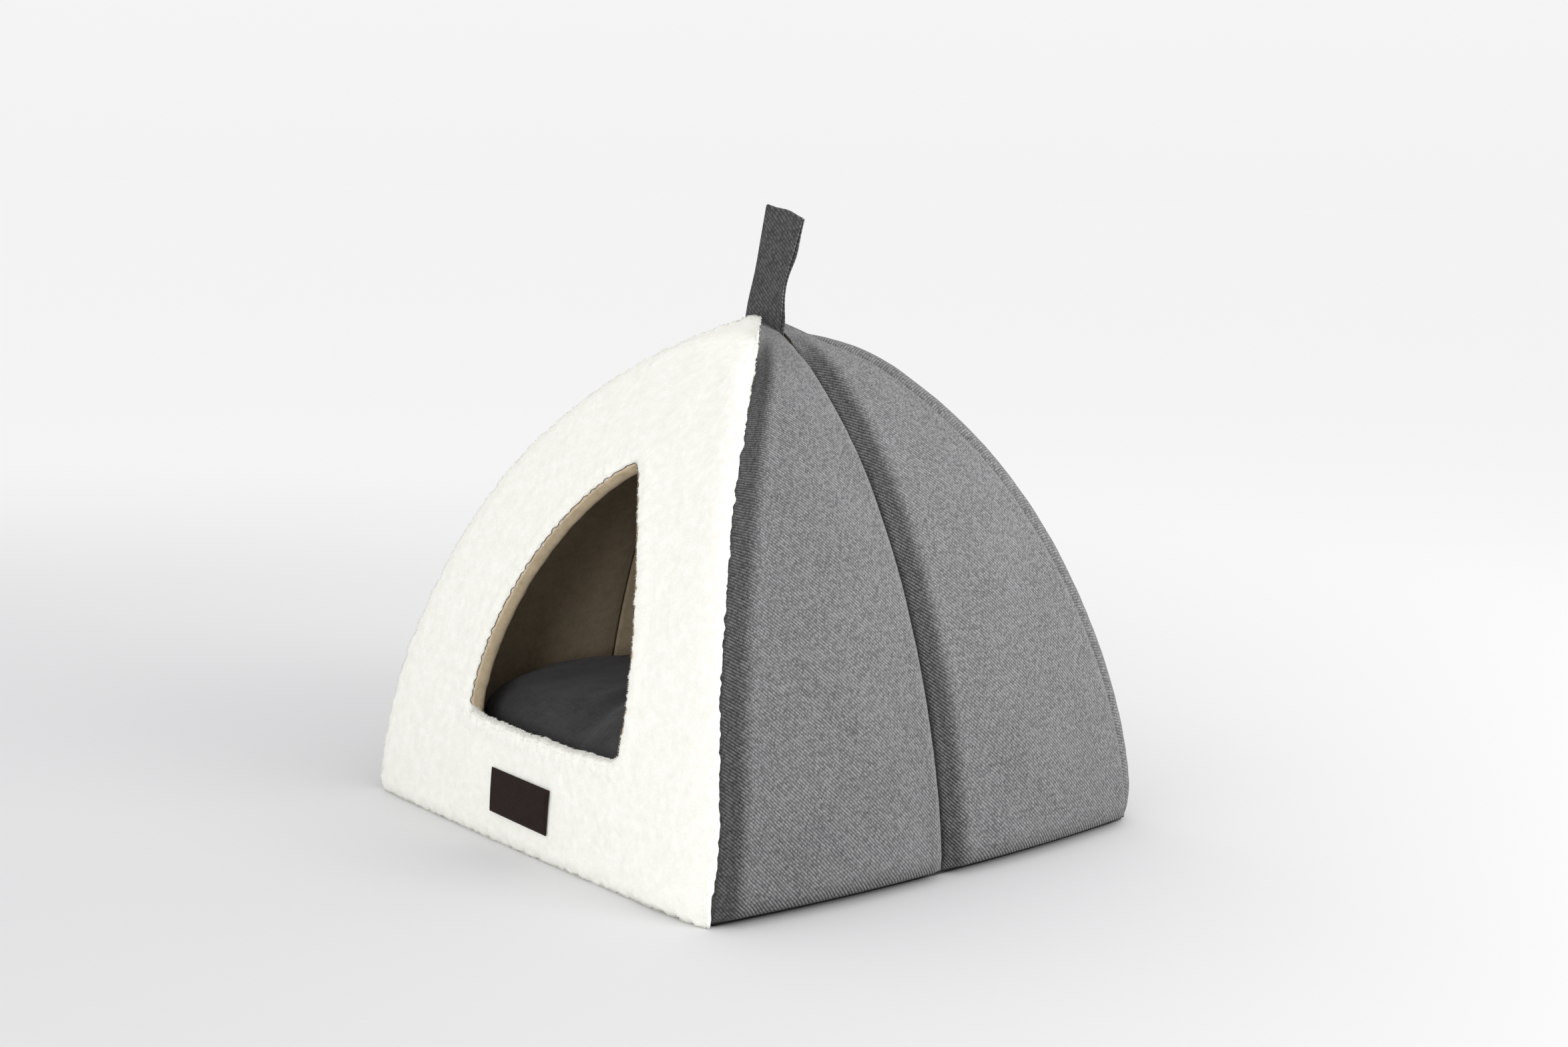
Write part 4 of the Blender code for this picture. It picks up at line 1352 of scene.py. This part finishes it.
def flag(lamp, objects, state):
    """Keeps a lamp off the objects, or lets it reach nothing else."""
    group = bpy.data.collections.new(f"{lamp.name}_flag")
    for obj in objects:
        group.objects.link(obj)
    for linked in group.collection_objects:
        linked.light_linking.link_state = state
    lamp.light_linking.receiver_collection = group


FLOOR_SHADE_MIDDLE = (-0.30, -0.70, 0.0)  # where the painted shade on the floor is darkest, at the object's front left
FLOOR_SHADE_FADE = (0.35, 2.2)  # distances from there at which the painted shade starts and ends to grow lighter
# the painted shade near the object, in faint clouds, and the paper's own white beyond it
FLOOR_SHADED = (0.3, (0.760, 0.760, 0.772)), (0.7, (0.782, 0.782, 0.790))
FLOOR_FAR = (0.955, 0.955, 0.955)
FLOOR_HALF = 60.0


def floor_with_painted_shade():
    """Pale paper with painted shade round the object, fading away from it to the backdrop's white.
    """
    cloth = Cloth("pale_floor")
    place = cloth.place()
    far = cloth.add("ShaderNodeVectorMath", {0: place, 1: FLOOR_SHADE_MIDDLE}, operation="DISTANCE")
    inputs = {0: far.outputs["Value"], 1: FLOOR_SHADE_FADE[0], 2: FLOOR_SHADE_FADE[1]}
    share = cloth.add("ShaderNodeMapRange", inputs, interpolation_type="SMOOTHSTEP").outputs[0]
    # the floor's painted shade near the object, mottled in faint clouds
    clouds = cloth.ramp(cloth.noise(place, 0.7, 1.0), *FLOOR_SHADED)
    cloth.put(cloth.shader, "Base Color", cloth.mix(share, clouds, FLOOR_FAR))
    cloth.shader.inputs["Roughness"].default_value = 0.75
    cloth.shader.inputs["Specular IOR Level"].default_value = 0.0
    return cloth.material


def make_floor():
    corners = FLOOR_HALF * np.array([(-1, -1, 0), (1, -1, 0), (1, 1, 0), (-1, 1, 0)])
    ground = make_object("studio_floor", corners, [(0, 1, 2, 3)], floor_with_painted_shade())
    return ground


def make_backdrop():
    """Even pale light all round, a little lighter above the horizon."""
    world = Cloth("studio", bpy.data.worlds, "Background")
    apart = world.add("ShaderNodeSeparateXYZ", {0: world.place("Generated")})
    world.put(world.shader, "Color", world.ramp(apart.outputs[2], (0.0, HORIZON), (0.25, SKY)))
    bpy.context.scene.world = world.material
    bpy.context.scene.view_settings.view_transform = "Standard"
    bpy.context.scene.view_settings.look = "None"


def make_stage():
    ground = make_floor()
    make_backdrop()
    lamps = {row[0]: area_light(*row) for row in LAMPS}
    lamps["key"].data.spread = KEY_SPREAD
    # flags in the studio keep the key and the fill off the floor, and the fill off the twill; the
    # pale fleece has a weaker key and fill of its own, and the shaded left wall a lamp of its own
    walls = [o for o in bpy.data.objects if o.name.endswith("_gore") or o.name == "rear_panel"]
    left_wall = [o for o in walls if o.name.startswith("left_")]
    pale = [bpy.data.objects[name] for name in ("fleece_front", "fleece_tufts")]
    flag(lamps["fill"], [ground, *walls, *pale], "EXCLUDE")
    flag(lamps["soft_fill"], pale, "INCLUDE")
    flag(lamps["key"], [ground, *pale], "EXCLUDE")
    flag(lamps["soft_key"], pale, "INCLUDE")
    flag(lamps["left"], left_wall, "INCLUDE")


make_walls()
make_front()
make_base()
make_cushion()
make_strap()
make_patch()
make_seam_threads()
make_stage()
make_camera()
